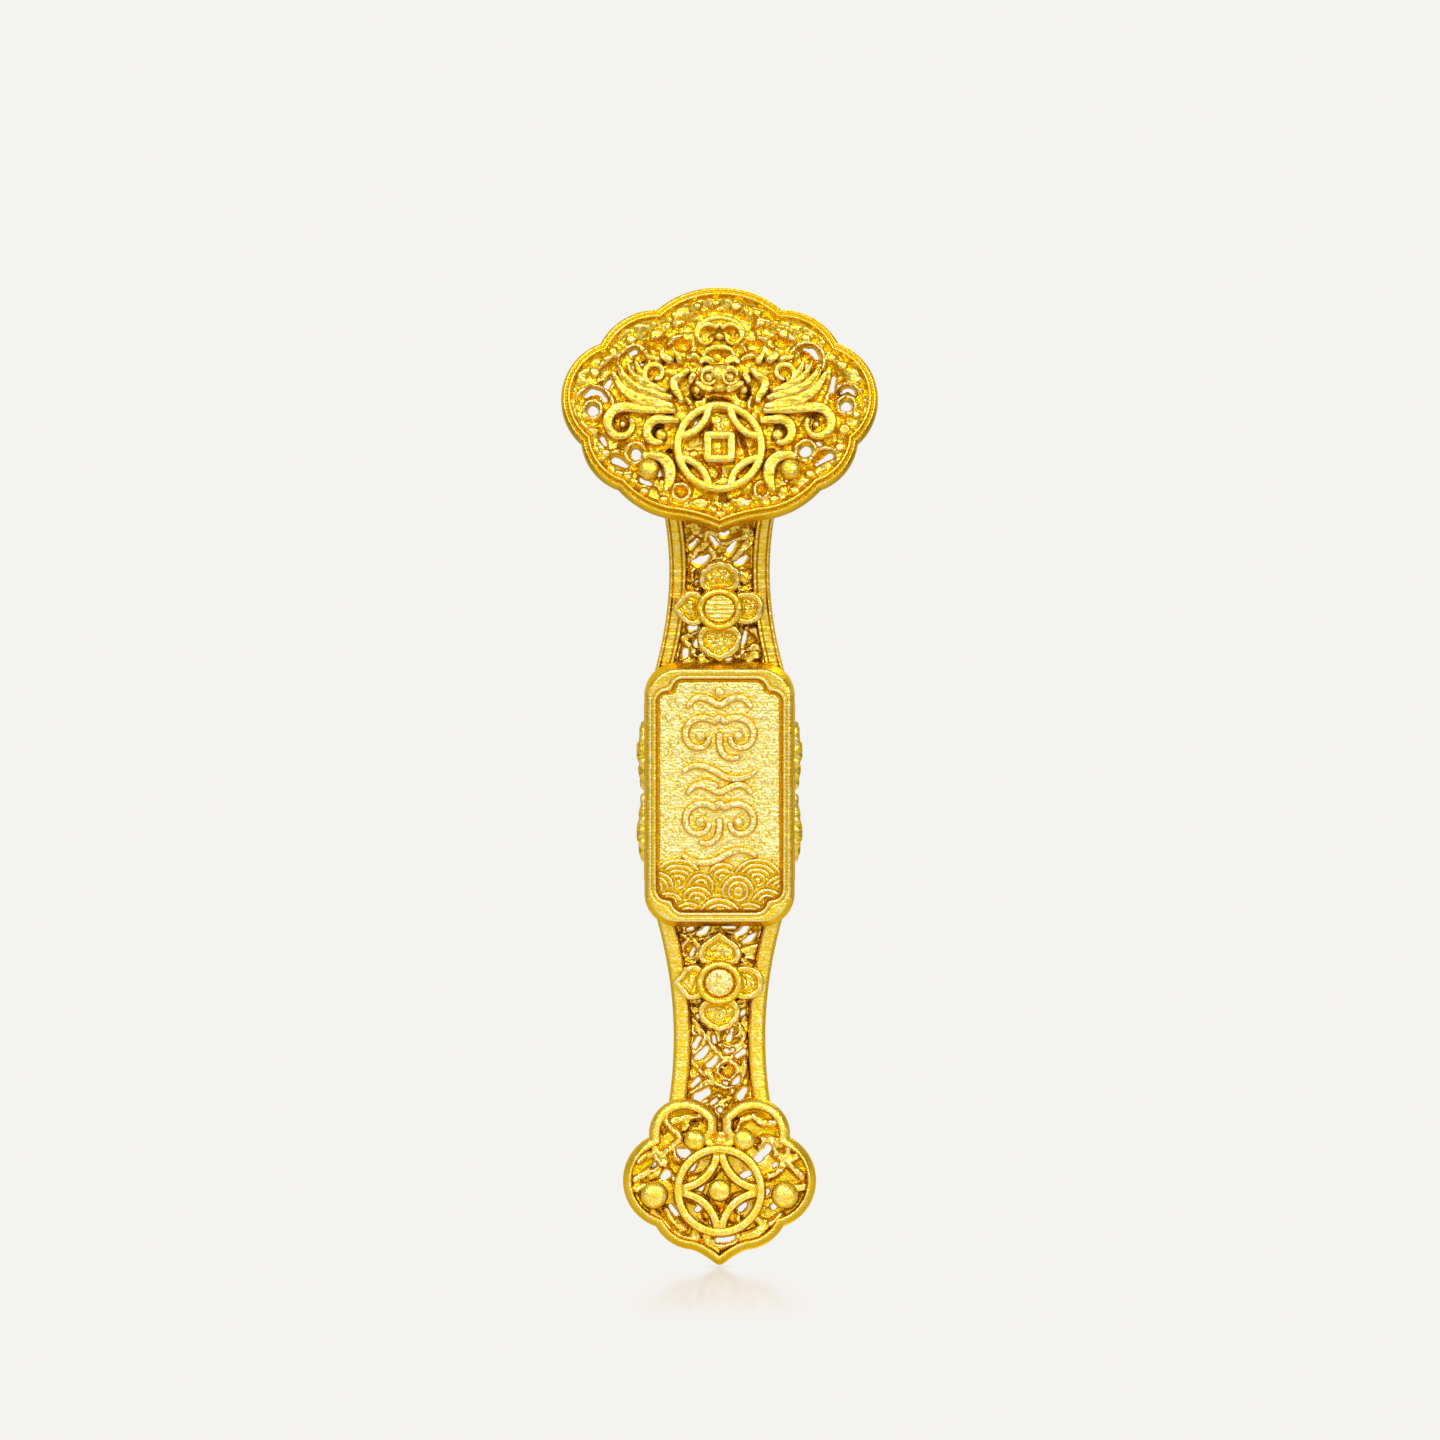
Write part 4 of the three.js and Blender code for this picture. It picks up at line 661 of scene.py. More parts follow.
# Head: the pierced ground inside the rim. Holes and pits are (points, half width), bars add their rise
headGround = {
    "pitch": 0.115, "inset": 0.95, "floor": 2.3, "back": 1.1, "bank": 0.45, "bankWide": 1.8, "crumb": 0.42,
    "grit": 0.36, "cell": 0.92, "pit": 0.9,
    "broad": 1.12, "lift": 0.8, "flat": 0.4, "leaf": 1.05,
    "holes": [
        ([(-12.9, -0.2), (-12.85, -0.15)], 0.5), ([(12.9, 0.25), (12.95, 0.3)], 0.52),
        ([(-13.6, 1.3), (-13.0, 1.9), (-12.1, 1.7), (-11.6, 0.9)], (0.14, 0.28, 0.26, 0.12)),
        ([(12.2, 1.4), (12.7, 2.0), (13.4, 2.0), (13.8, 1.5)], (0.1, 0.22, 0.22, 0.1)),
        ([(-11.5, 2.4), (-10.7, 3.5)], (0.26, 0.12)), ([(11.4, 1.9), (11.65, 3.3)], (0.24, 0.2)),
        ([(-8.8, 4.0), (-8.5, 4.4)], (0.4, 0.28)), ([(-9.0, 5.7), (-8.6, 5.9)], (0.2, 0.24)),
        ([(-7.9, 4.7), (-7.8, 4.9)], 0.14),
        ([(8.7, 6.2), (9.5, 6.0), (10.0, 5.1)], (0.16, 0.28, 0.14)),
        ([(8.4, 4.1), (8.9, 4.6)], (0.28, 0.2)),
        ([(-8.5, -4.6), (-8.45, -4.65)], 0.55), ([(8.7, -4.35), (8.75, -4.3)], 0.55),
        ([(-10.6, -5.2), (-9.5, -5.8)], (0.36, 0.26)), ([(9.9, -5.6), (11.2, -4.8)], (0.2, 0.32)),
        ([(-11.9, -3.0), (-11.5, -3.8)], (0.24, 0.14)), ([(10.0, -3.4), (10.2, -3.6)], 0.18),
        ([(-7.8, -7.3), (-7.1, -7.7)], (0.32, 0.22)), ([(6.9, -6.9), (6.85, -7.3)], (0.16, 0.12)),
        ([(4.7, -6.6), (4.6, -6.9)], 0.24),
        ([(-2.3, -1.5), (-2.2, -1.7)], (0.3, 0.2)), ([(-6.2, -6.4), (-6.1, -6.7)], 0.18),
        ([(0.2, -8.7), (0.35, -9.2)], (0.22, 0.32)),
    ],
    "pits": [
        ([(-7.4, 6.8), (-6.1, 6.4)], (0.2, 0.5)), ([(-3.9, 6.4), (-3.4, 6.4)], 0.5),
        ([(-8.8, 5.8), (-8.0, 5.2)], (0.5, 0.6)),
        ([(6.0, 6.9), (6.6, 6.5)], (0.6, 0.3)), ([(3.2, 6.4), (3.8, 6.3)], 0.5),
        ([(9.2, 4.9), (8.8, 5.4)], 0.5),
        ([(-2.4, 1.9), (-2.2, 1.5)], 0.6), ([(2.4, 2.0), (2.5, 1.6)], 0.6),
        ([(-0.5, 0.5), (0.6, 0.3)], 0.7), ([(-2.4, -1.0), (-1.6, -2.0)], 0.8),
        ([(-3.9, -8.6), (-3.85, -8.6)], 0.5), ([(4.3, -8.4), (4.35, -8.4)], 0.45),
        ([(-10.2, -1.3), (-9.9, -1.8)], 0.6),
        ([(9.3, -1.2), (9.0, -1.8)], 0.6), ([(-6.3, -2.3), (-6.0, -2.9)], 0.5),
        ([(6.2, -2.2), (5.9, -2.8)], 0.5), ([(-12.4, 1.0), (-11.9, 2.2)], 0.5),
        ([(12.0, 1.2), (12.4, 2.4)], 0.5), ([(-9.7, -4.0), (-9.3, -4.6)], 0.6),
        ([(9.6, -4.0), (9.9, -4.6)], 0.6), ([(1.6, -3.2), (2.2, -5.0)], 0.7),
        ([(-1.8, -5.6), (-0.6, -6.6)], 0.7), ([(5.4, -5.4), (5.2, -4.6)], 0.4),
        ([(-5.0, -4.6), (-5.2, -5.4)], 0.4),
    ],
    "bars": [
        (ringPath((-12.9, -0.2), 0.9), 0.34, 1.2),
        (ringPath((12.9, 0.28), 0.92), 0.34, 1.2),
        (spiral((-12.8, 0.0), (2.1, 2.0), -150, -230), (0.3, 0.4, 0.3), 1.35),
        (spiral((12.8, 0.1), (2.2, 2.1), -40, 250), (0.3, 0.42, 0.3), 1.4),
        (ringPath((-8.5, -4.6), 1.0), 0.34, 1.0),
        (ringPath((8.7, -4.35), 1.0), 0.34, 1.0),
        (spiral((-8.6, 4.7), (1.7, 1.5), 190, -220), (0.3, 0.42, 0.3), 1.2),
        (spiral((8.8, 4.9), (1.9, 1.6), -30, 215), (0.3, 0.42, 0.3), 1.2),
        (ringPath((-3.9, -8.6), 0.85), 0.32, 1.1),
        (ringPath((4.3, -8.4), 0.8), 0.32, 1.1),
        ([(-12.0, -5.2), (-11.2, -4.7), (-10.3, -4.5)], (0.5, 0.4), 1.0),
        ([(10.2, -4.2), (11.2, -4.0), (12.0, -4.6)], (0.35, 0.45), 1.0),
        ([(-9.0, -6.6), (-9.8, -6.9), (-10.6, -6.5)], (0.3, 0.5, 0.3), 1.1),
        ([(8.8, -6.6), (9.8, -6.9), (10.7, -6.3)], (0.35, 0.55, 0.3), 1.1),
        ([(-2.9, -9.8), (-1.8, -9.9), (-1.0, -9.6)], (0.35, 0.7, 0.35), 1.15),
        ([(1.4, -9.6), (2.4, -9.8), (3.2, -9.6)], (0.4, 0.72, 0.35), 1.15),
        ([(-0.4, -10.9), (0.6, -10.9)], (0.55, 0.55), 1.15),
        ([(-4.6, 8.6), (-4.2, 8.9), (-3.8, 8.8)], (0.4, 0.6, 0.4), 1.2),
        ([(-6.8, 7.2), (-6.2, 7.7), (-5.8, 7.6)], (0.3, 0.65, 0.35), 1.2),
        ([(6.0, 8.0), (6.7, 7.6), (7.6, 7.0)], (0.35, 0.65, 0.25), 1.2),
        ([(3.6, 8.4), (4.3, 8.9), (5.0, 8.7)], (0.35, 0.6, 0.35), 1.2),
        ([(-5.2, 6.4), (-4.6, 7.2), (-4.0, 7.4)], (0.3, 0.45, 0.3), 1.1),
        ([(4.0, 7.2), (4.8, 7.0), (5.4, 6.3)], (0.3, 0.5, 0.3), 1.1),
        ([(-3.2, 5.2), (-2.4, 5.4), (-1.9, 5.0)], (0.35, 0.5, 0.35), 1.1),
        ([(2.3, 5.0), (3.2, 5.4), (4.0, 5.2)], (0.35, 0.5, 0.35), 1.1),
        ([(-10.6, 5.4), (-11.5, 5.0), (-12.2, 4.2)], (0.35, 0.5, 0.3), 1.1),
        ([(10.8, 5.6), (11.6, 5.2), (12.2, 4.4)], (0.35, 0.55, 0.3), 1.1),
        ([(-3.4, 1.0), (-2.8, 0.4), (-2.9, -0.4)], (0.3, 0.4, 0.3), 1.0),
        ([(3.3, 1.1), (2.9, 0.4), (3.1, -0.3)], (0.3, 0.4, 0.3), 1.0),
    ],
    # flat leaf patches in the crumbs: across, up, half width
    "patches": [(-4.4, 8.7, 0.6), (-6.4, 7.5, 0.7), (4.2, 8.8, 0.6), (6.5, 7.6, 0.6), (5.7, 8.7, 0.4),
                (-12.8, -2.4, 0.6), (-11.6, -4.6, 0.5), (12.7, -2.3, 0.7), (12.2, -4.1, 0.6),
                (9.2, -6.8, 0.6), (7.7, -8.5, 0.6), (-10.2, -6.8, 0.6), (-7.6, -8.6, 0.5),
                (-2.0, -9.8, 0.85), (2.4, -9.8, 0.85), (0.1, -10.9, 0.7), (12.5, 4.4, 0.6),
                (-12.7, 3.6, 0.6), (11.3, 5.1, 0.5), (-10.8, 5.7, 0.6), (-8.9, 7.0, 0.6), (-2.3, 10.4, 0.5),
                (1.7, 10.4, 0.6), (3.8, 9.7, 0.5), (8.8, 7.2, 0.6), (-0.3, 10.7, 0.45), (-13.6, -0.9, 0.5),
                (13.9, -0.7, 0.5), (-5.6, -9.4, 0.5), (5.6, -9.4, 0.5), (-7.9, 6.0, 0.4), (9.9, 6.1, 0.45),
                (-13.9, 1.4, 0.4), (14.0, 1.9, 0.4)],
}
makePiece("head_openwork", [groundSheet(headGround, headLoop, headPlace, 11)], "cast_gold")

# Head: the bat. Feathers, claws and fins are ribbons of (points, half width, rise) on the right hand. The
# volute is (centre, radii, start, sweep, half width, rise), and lumps are (place, half sizes, top)
batForm = {
    "base": 2.5, "root": 0.6, "broad": 1.2, "flank": 0.42, "sides": 20,
    "ribbons": [
        ([(4.7, 0.65), (6.7, 1.25), (8.4, 1.95), (9.6, 2.95), (10.3, 4.2)], (0.7, 1.0, 1.0, 0.75, 0.25),
         0.95),
        ([(4.3, -0.1), (6.6, 0.5), (8.6, 1.0), (10.1, 2.1), (10.9, 3.8)], (0.4, 0.75, 0.8, 0.55, 0.2),
         1.15),
        ([(4.6, 0.9), (6.6, 1.4), (8.3, 2.0), (9.6, 3.0), (10.3, 4.5)], (0.3, 0.5, 0.55, 0.4, 0.15), 1.4),
        ([(5.2, 1.6), (7.0, 2.2), (8.3, 2.9), (9.1, 3.8), (9.5, 4.8)], (0.25, 0.46, 0.5, 0.36, 0.12), 1.5),
        ([(7.3, 3.0), (8.0, 3.5), (8.4, 4.2), (8.5, 5.0)], (0.25, 0.42, 0.34, 0.12), 1.35),
        ([(4.8, 4.3), (5.2, 5.0), (5.9, 5.3), (5.7, 6.2)], (0.55, 0.5, 0.12), 1.3),
        ([(3.8, 4.2), (4.1, 5.1), (4.7, 5.7)], (0.5, 0.42, 0.12), 1.25),
        ([(5.9, 4.6), (6.6, 5.1), (7.3, 5.0), (7.6, 5.5)], (0.45, 0.38, 0.12), 1.15),
        ([(3.0, 4.1), (3.9, 3.2), (4.8, 2.7), (4.5, 1.7), (3.9, 1.1), (3.9, 0.2)],
         (0.3, 0.5, 0.58, 0.5, 0.32), 1.5),
        ([(0.6, 4.2), (0.9, 4.9), (1.7, 5.0), (2.0, 4.3)], (0.4, 0.5, 0.25), 1.3),
        ([(0.4, 3.9), (1.2, 4.05), (2.0, 3.4)], (0.3, 0.4, 0.2), 1.45),
        ([(0.5, 1.7), (1.2, 1.9), (1.9, 2.4), (2.6, 2.6)], (0.4, 0.5, 0.3), 1.1),
        ([(2.3, 3.6), (2.9, 3.0), (3.0, 2.3)], (0.3, 0.42, 0.25), 1.15),
    ],
    "volute": ((6.5, 3.45), (1.3, 0.45), -95, 400, (0.5, 0.46, 0.36), 1.4),
    "eye": (1.1, 3.05), "eyeRadius": 0.45, "eyeWall": 3.5, "eyeRise": 0.4,
    "lidRadius": 0.72, "lidHalf": 0.24, "lidRise": 1.35, "lidSweep": 350,
    "arch": ([(-1.75, 4.95), (-1.1, 6.15), (1.1, 6.15), (1.6, 5.0)], (0.3, 0.5, 0.3), 1.4),
    "lumps": [((0, 3.6), (1.0, 0.9), 1.35), ((0, 2.05), (0.75, 0.6), 1.3), ((0, 3.0), (2.1, 1.4), 0.75),
              ((-2.3, 1.9), (0.36, 0.4), 0.5), ((2.45, 1.9), (0.4, 0.42), 0.5)],
    "lumpShares": (0.55, 0.45),
}


# Its shells: ribbons and a volute on both hands, eyes that are domes inside a ring, an arch over the brow,
# and lumps whose wall takes a little over half of the height
def batShells(form, place):
    base, root, flank, sides = (form[key] for key in ("base", "root", "flank", "sides"))
    foot = headForm["trimFoot"]
    shells = []
    for side in (1, -1):
        for k, (points, half, rise) in enumerate(form["ribbons"]):
            path = handed(softPath(points), side)
            shells.append(ribbonShell(path, form["broad"] * np.array(half), base, rise, root, place, flank,
                                      sides, wobble=0.08, seed=k + 20 + 2 * side))
        centre, radii, start, sweep, half, rise = form["volute"]
        path = handed(spiral(centre, radii, start, sweep), side)
        shells.append(ribbonShell(path, half, base, rise, root, place, flank, sides, wobble=0.06, seed=40))
        eye = handed([form["eye"]], side)[0]
        lid = spiral(eye, (form["lidRadius"],) * 2, 0, form["lidSweep"])
        shells.append(ribbonShell(lid, form["lidHalf"], base, form["lidRise"], root, place))
        dome = domeProfile(foot, form["eyeWall"], form["eyeRise"])
        shells.append(turnedShell(dome, eye, (form["eyeRadius"],) * 2, place, sides))
    points, half, rise = form["arch"]
    shells.append(ribbonShell(softPath(points), half, base, rise, root, place, flank, wobble=0.05))
    wall, crown = form["lumpShares"]
    for centre, sizes, top in form["lumps"]:
        dome = domeProfile(foot, base + wall * top, crown * top)
        shells.append(turnedShell(dome, centre, sizes, place, sides=36, wobble=0.08, seed=7))
    return shells


makePiece("head_bat", batShells(batForm, headPlace), "satin_gold")


# Two volutes under one crown: the cloud's path, from the right eye over the crown to the left eye. Wide and
# eye are the volutes' outer and inner radius as shares of their spread
def cloudPath(spread, height, turns=-315, wide=1.05, eye=0.42):
    right = spiral((spread, height), (wide * spread, eye * spread), 135, turns)[::-1]
    return softPath(np.concatenate((right, [(0, height + wide * spread)], right[::-1] * (-1, 1))), 0.1)


# Head: the small cloud. Domes are (place, half sizes, wall's top, rise)
cloudForm = {
    "spread": 1.25, "height": 7.25, "half": (0.22, 0.34, 0.4, 0.34, 0.22), "base": 2.5, "rise": 1.4,
    "root": 0.5, "wobble": 0.04, "browHalf": (0.25, 0.4, 0.42, 0.4, 0.25),
    "brow": [(-2.3, 6.9), (-2.5, 8.0), (-1.4, 8.9), (0.0, 9.3), (1.4, 8.9), (2.5, 8.0), (2.3, 6.9)],
    "domes": [((0, 7.3), (0.6, 0.5), 3.1, 0.5), ((0, 8.85), (1.3, 0.4), 3.2, 0.3)],
}


# Its shells: ribbons along the volutes and along the brow, and the domes between them
def cloudShells(form, place):
    volutes, brow = cloudPath(form["spread"], form["height"]), softPath(form["brow"])
    shells = [ribbonShell(path, half, form["base"], form["rise"], form["root"], place, flank,
                          wobble=form["wobble"])
              for path, half, flank in ((volutes, form["half"], 0.4), (brow, form["browHalf"], 0.45))]
    for spot, sizes, wall, rise in form["domes"]:
        dome = domeProfile(headForm["trimFoot"], wall, rise)
        shells.append(turnedShell(dome, spot, sizes, place, sides=24))
    return shells


makePiece("head_cloud", cloudShells(cloudForm, headPlace), "satin_gold")

# Head: the roundel, a ring with a square eye and four bowed bars, all flat on top
coinForm = {
    "height": -4.1, "radius": 4.25, "half": 0.58, "square": 1.2, "base": 2.5, "rise": 1.55, "root": 0.7,
    "flank": 0.34, "sides": 22, "bow": 3.16, "reach": 4.26, "bowStart": 172, "bowSweep": 106,
}


# Its shells: ribbons along the ring, along the square, whose corners count twice, and along a bow about a far
# centre, turned by quarters
def coinShells(form, place):
    def lay(path):
        return ribbonShell(np.array(path) + (0, form["height"]), form["half"], form["base"], form["rise"],
                           form["root"], place, form["flank"], form["sides"])

    edge = form["square"]
    corners = np.repeat([(edge, edge), (edge, -edge), (-edge, -edge), (-edge, edge)], 2, 0)
    square = softPath([(0, edge), *corners, (0, edge)], step=0.06)
    bow = spiral((form["reach"],) * 2, (form["bow"],) * 2, form["bowStart"], form["bowSweep"])
    shells = [lay(spiral((0, 0), (form["radius"],) * 2, 90, 360)), lay(square)]
    return shells + [lay(quarterTurn(bow, k)) for k in range(4)]


makePiece("head_coin", coinShells(coinForm, headPlace), "bright_gold")

# Head: ribbon scrolls below the wings and comma curls at the lower sides, right hand and mirrored
scrollForm = {
    "base": 2.5, "root": 0.6, "flank": 0.34, "sides": 22, "wobble": 0.05,
    "ribbons": [
        (np.concatenate(([(4.2, -0.4), (5.8, -0.3), (7.4, -0.3), (8.8, -0.05)],
                         spiral((9.85, -1.7), (1.75, 0.9), 95, -320))),
         (0.4, 0.55, 0.72, 0.72, 0.5, 0.34), 1.35),
        (np.concatenate(([(3.9, -1.5), (4.6, -1.3)], spiral((6.15, -2.6), (1.45, 0.95), 115, -240))),
         (0.45, 0.62, 0.7, 0.6, 0.4), 1.4),
    ],
    "eyes": [((9.8, -1.7), 0.4), ((5.9, -2.75), 0.62)],
}
curlForm = {
    "rise": 1.45, "ball": (7.2, -6.3), "ballRadius": 1.08,
    "tail": [(7.9, -5.3), (7.5, -4.9), (6.7, -4.8), (5.6, -5.2), (5.0, -6.2), (5.0, -7.3), (5.2, -8.0),
             (5.6, -8.7)],
    "half": (0.4, 0.55, 0.75, 0.85, 0.85, 0.7, 0.2),
}


# A scroll's or curl's ribbon: the scrolls' section along a path of either hand
def scrollRibbon(points, half, rise, side):
    form = scrollForm
    return ribbonShell(handed(softPath(points), side), half, form["base"], rise, form["root"], headPlace,
                       form["flank"], form["sides"], form["wobble"])


for side, hand in ((1, "right"), (-1, "left")):
    shells = [scrollRibbon(points, half, rise, side) for points, half, rise in scrollForm["ribbons"]]
    for spot, radius in scrollForm["eyes"]:
        dome = domeProfile(headForm["trimFoot"], base=3.0, rise=0.4)
        shells.append(turnedShell(dome, handed([spot], side)[0], (radius, radius), headPlace, sides=24,
                                  wobble=scrollForm["wobble"]))
    makePiece(f"head_scroll_{hand}", shells, "satin_gold")
    ball = turnedShell(domeProfile(headForm["trimFoot"], base=3.35, rise=0.6),
                       handed([curlForm["ball"]], side)[0], (curlForm["ballRadius"],) * 2, headPlace,
                       sides=32, wobble=0.03)
    tail = scrollRibbon(curlForm["tail"], curlForm["half"], curlForm["rise"], side)
    makePiece(f"head_curl_{hand}", [tail, ball], "satin_gold")

# Stem: the two rails and the blocks between them
stemForm = {
    "shoulder": 15.5, "shoulderReach": 9.0, "rail": 1.75, "tongue": 9.0, "bar": 1.2, "middle": 12.4,
    "step": 0.16, "blockTop": 3.38, "railPast": 1.0, "railPoints": 43, "faceFade": 10, "layer": 0.05,
    "layerStretch": 0.15, "lump": 0.02, "roughFrom": 0.5,
    1: {"waist": 10.3, "waistReach": 23.0, "window": 30.5, "end": 35.0},
    -1: {"waist": 9.4, "waistReach": 25.5, "window": 34.2, "end": 37.0},
}


# Half the stem's width: a parabola about its waist, then a straight taper to the tongue
def stemHalfWidth(s):
    form = stemForm
    result = np.zeros(np.shape(s))
    for side in (1, -1):
        arm = form[side]
        far = np.maximum(np.abs(s), form["shoulderReach"])
        rise = (form["shoulder"] - arm["waist"]) / 2 / (arm["waistReach"] - form["shoulderReach"]) ** 2
        flared = arm["waist"] / 2 + rise * (np.minimum(far, arm["window"]) - arm["waistReach"]) ** 2
        taperLength = arm["end"] - arm["window"] - form["bar"]
        taper = np.clip((far - arm["window"] - form["bar"]) / taperLength, 0, 1)
        tapered = flared + (form["tongue"] / 2 - flared) * taper
        result = np.where((np.asarray(s) >= 0) == (side > 0), tapered, result)
    return result


# Faces of a rail as distances in and heights: the upper arm's is sunk between two fine lips, the lower arm's
# is crowned. Both stand on the same walls
railFaces = {
    "sunk": ((0.0, 0.06, 0.16, 0.32, 0.4, 0.5, 1.2, 1.32, 1.42, 1.64, 1.72, 1.75),
             (2.55, 3.0, 3.34, 3.36, 3.18, 2.98, 2.98, 3.12, 3.36, 3.4, 3.28, 2.95)),
    "crowned": ((0.0, 0.1, 0.22, 0.4, 0.9, 1.4, 1.6, 1.7, 1.75),
                (2.6, 2.98, 3.24, 3.34, 3.4, 3.38, 3.28, 3.08, 2.85)),
    "wall": ((0.25, 0.06, 0, 0), (0, 0.08, 0.3, 1.8)),
}


# A rail: its section runs from the outer wall over the face to the inner wall and is carried along the stem's
# edge. The face goes over from crowned to sunk across the middle, and cross layers roughen the upper arm
def railShell(side):
    form, fade, past = stemForm, stemForm["faceFade"], stemForm["railPast"]
    s = np.arange(-form[-1]["window"] - past, form[1]["window"] + past, form["step"])[:, None]
    t = np.linspace(0, form["rail"], form["railPoints"])
    upper = np.clip((s + fade) / (2 * fade), 0, 1)
    face = upper * np.interp(t, *railFaces["sunk"]) + (1 - upper) * np.interp(t, *railFaces["crowned"])
    wallIn, wallUp = np.array(railFaces["wall"])
    across = np.concatenate((wallIn, t, form["rail"] - wallIn[::-1]))
    walls = np.broadcast_to(wallUp, (len(s), len(wallUp)))
    h = np.concatenate((walls, face, walls[:, ::-1]), 1)
    x = side * (stemHalfWidth(s) - across)
    layers = upper * form["layer"] * softNoise(form["layerStretch"] * x, s + 0 * x, cell=0.3, seed=4)
    layers = layers + form["lump"] * softNoise(x, s + 0 * x, cell=0.5, seed=3)
    h = np.maximum(h + layers * (h > form["roughFrom"]), 0)
    return stemPlace(x, s, h).reshape(-1, 3), tubeFaces(*h.shape)


# A block between the rails: a squared oval, whose powers of cosine and sine are small, carried along the stem
# from one place to another with softened ends
def blockShell(start, end, low, high, margin=0.0, soft=0.35, power=0.12, sides=40):
    s = np.arange(start, end + 1e-6, stemForm["step"])
    nose = np.sqrt(1 - (1 - np.clip(np.minimum(s - start, end - s) / soft, 0.1, 1)) ** 2)[:, None]
    u = np.linspace(0, 2 * math.pi, sides, endpoint=False) + math.pi / sides
    across = np.sign(np.cos(u)) * np.abs(np.cos(u)) ** power
    up = np.sign(np.sin(u)) * np.abs(np.sin(u)) ** power
    x = across * (stemHalfWidth(s)[:, None] - margin)
    h = (low + high) / 2 + up * ((high - low) / 2 - soft * (1 - nose))
    return stemPlace(x, s[:, None], h).reshape(-1, 3), tubeFaces(*x.shape)


makePiece("stem_frame", [
    railShell(1), railShell(-1),
    blockShell(-stemForm["middle"], stemForm["middle"], 0.12, stemForm["blockTop"], margin=0.05),
    blockShell(stemForm[1]["window"], stemForm[1]["end"], 0.02, stemForm["blockTop"]),
    blockShell(-stemForm[-1]["end"], -stemForm[-1]["window"], 0.02, stemForm["blockTop"]),
], "satin_gold")

# Back plate: a thin plate with softened edges that closes the hollow behind the tablet
backPlateForm = {"low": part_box("back_plate")[0], "high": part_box("back_plate")[1], "corner": 2.4,
                 "pitch": 0.2, "half": 0.4, "frontRound": 0.2, "backRound": 0.35}


# Depth inside a rounded rectangle: the corner's radius less the distance from the rectangle of its centres
def boxField(gridX, gridY, halfWidth, halfLength, corner):
    across, along = np.abs(gridX) - halfWidth + corner, np.abs(gridY) - halfLength + corner
    rounded = np.hypot(np.maximum(across, 0), np.maximum(along, 0))
    return corner - rounded - np.minimum(np.maximum(across, along), 0)


# The plate: half its thickness before and behind its middle, rounded by the depth inside its outline
def backPlateShell(form):
    width, length = [(form["high"][k] - form["low"][k]) / mm for k in (0, 2)]
    gridX, gridY = flatGrid((-width / 2, -length / 2), (width / 2, length / 2), form["pitch"])
    cover = boxField(gridX, gridY, width / 2, length / 2, form["corner"])
    front = form["half"] + form["half"] * shoulder(cover, form["frontRound"])
    back = form["half"] - form["half"] * shoulder(cover, form["backRound"])
    return sheetShell(gridX, gridY, cover, front, back, form["half"], stemPlace)


makePiece("back_plate", [backPlateShell(backPlateForm)], "satin_gold")

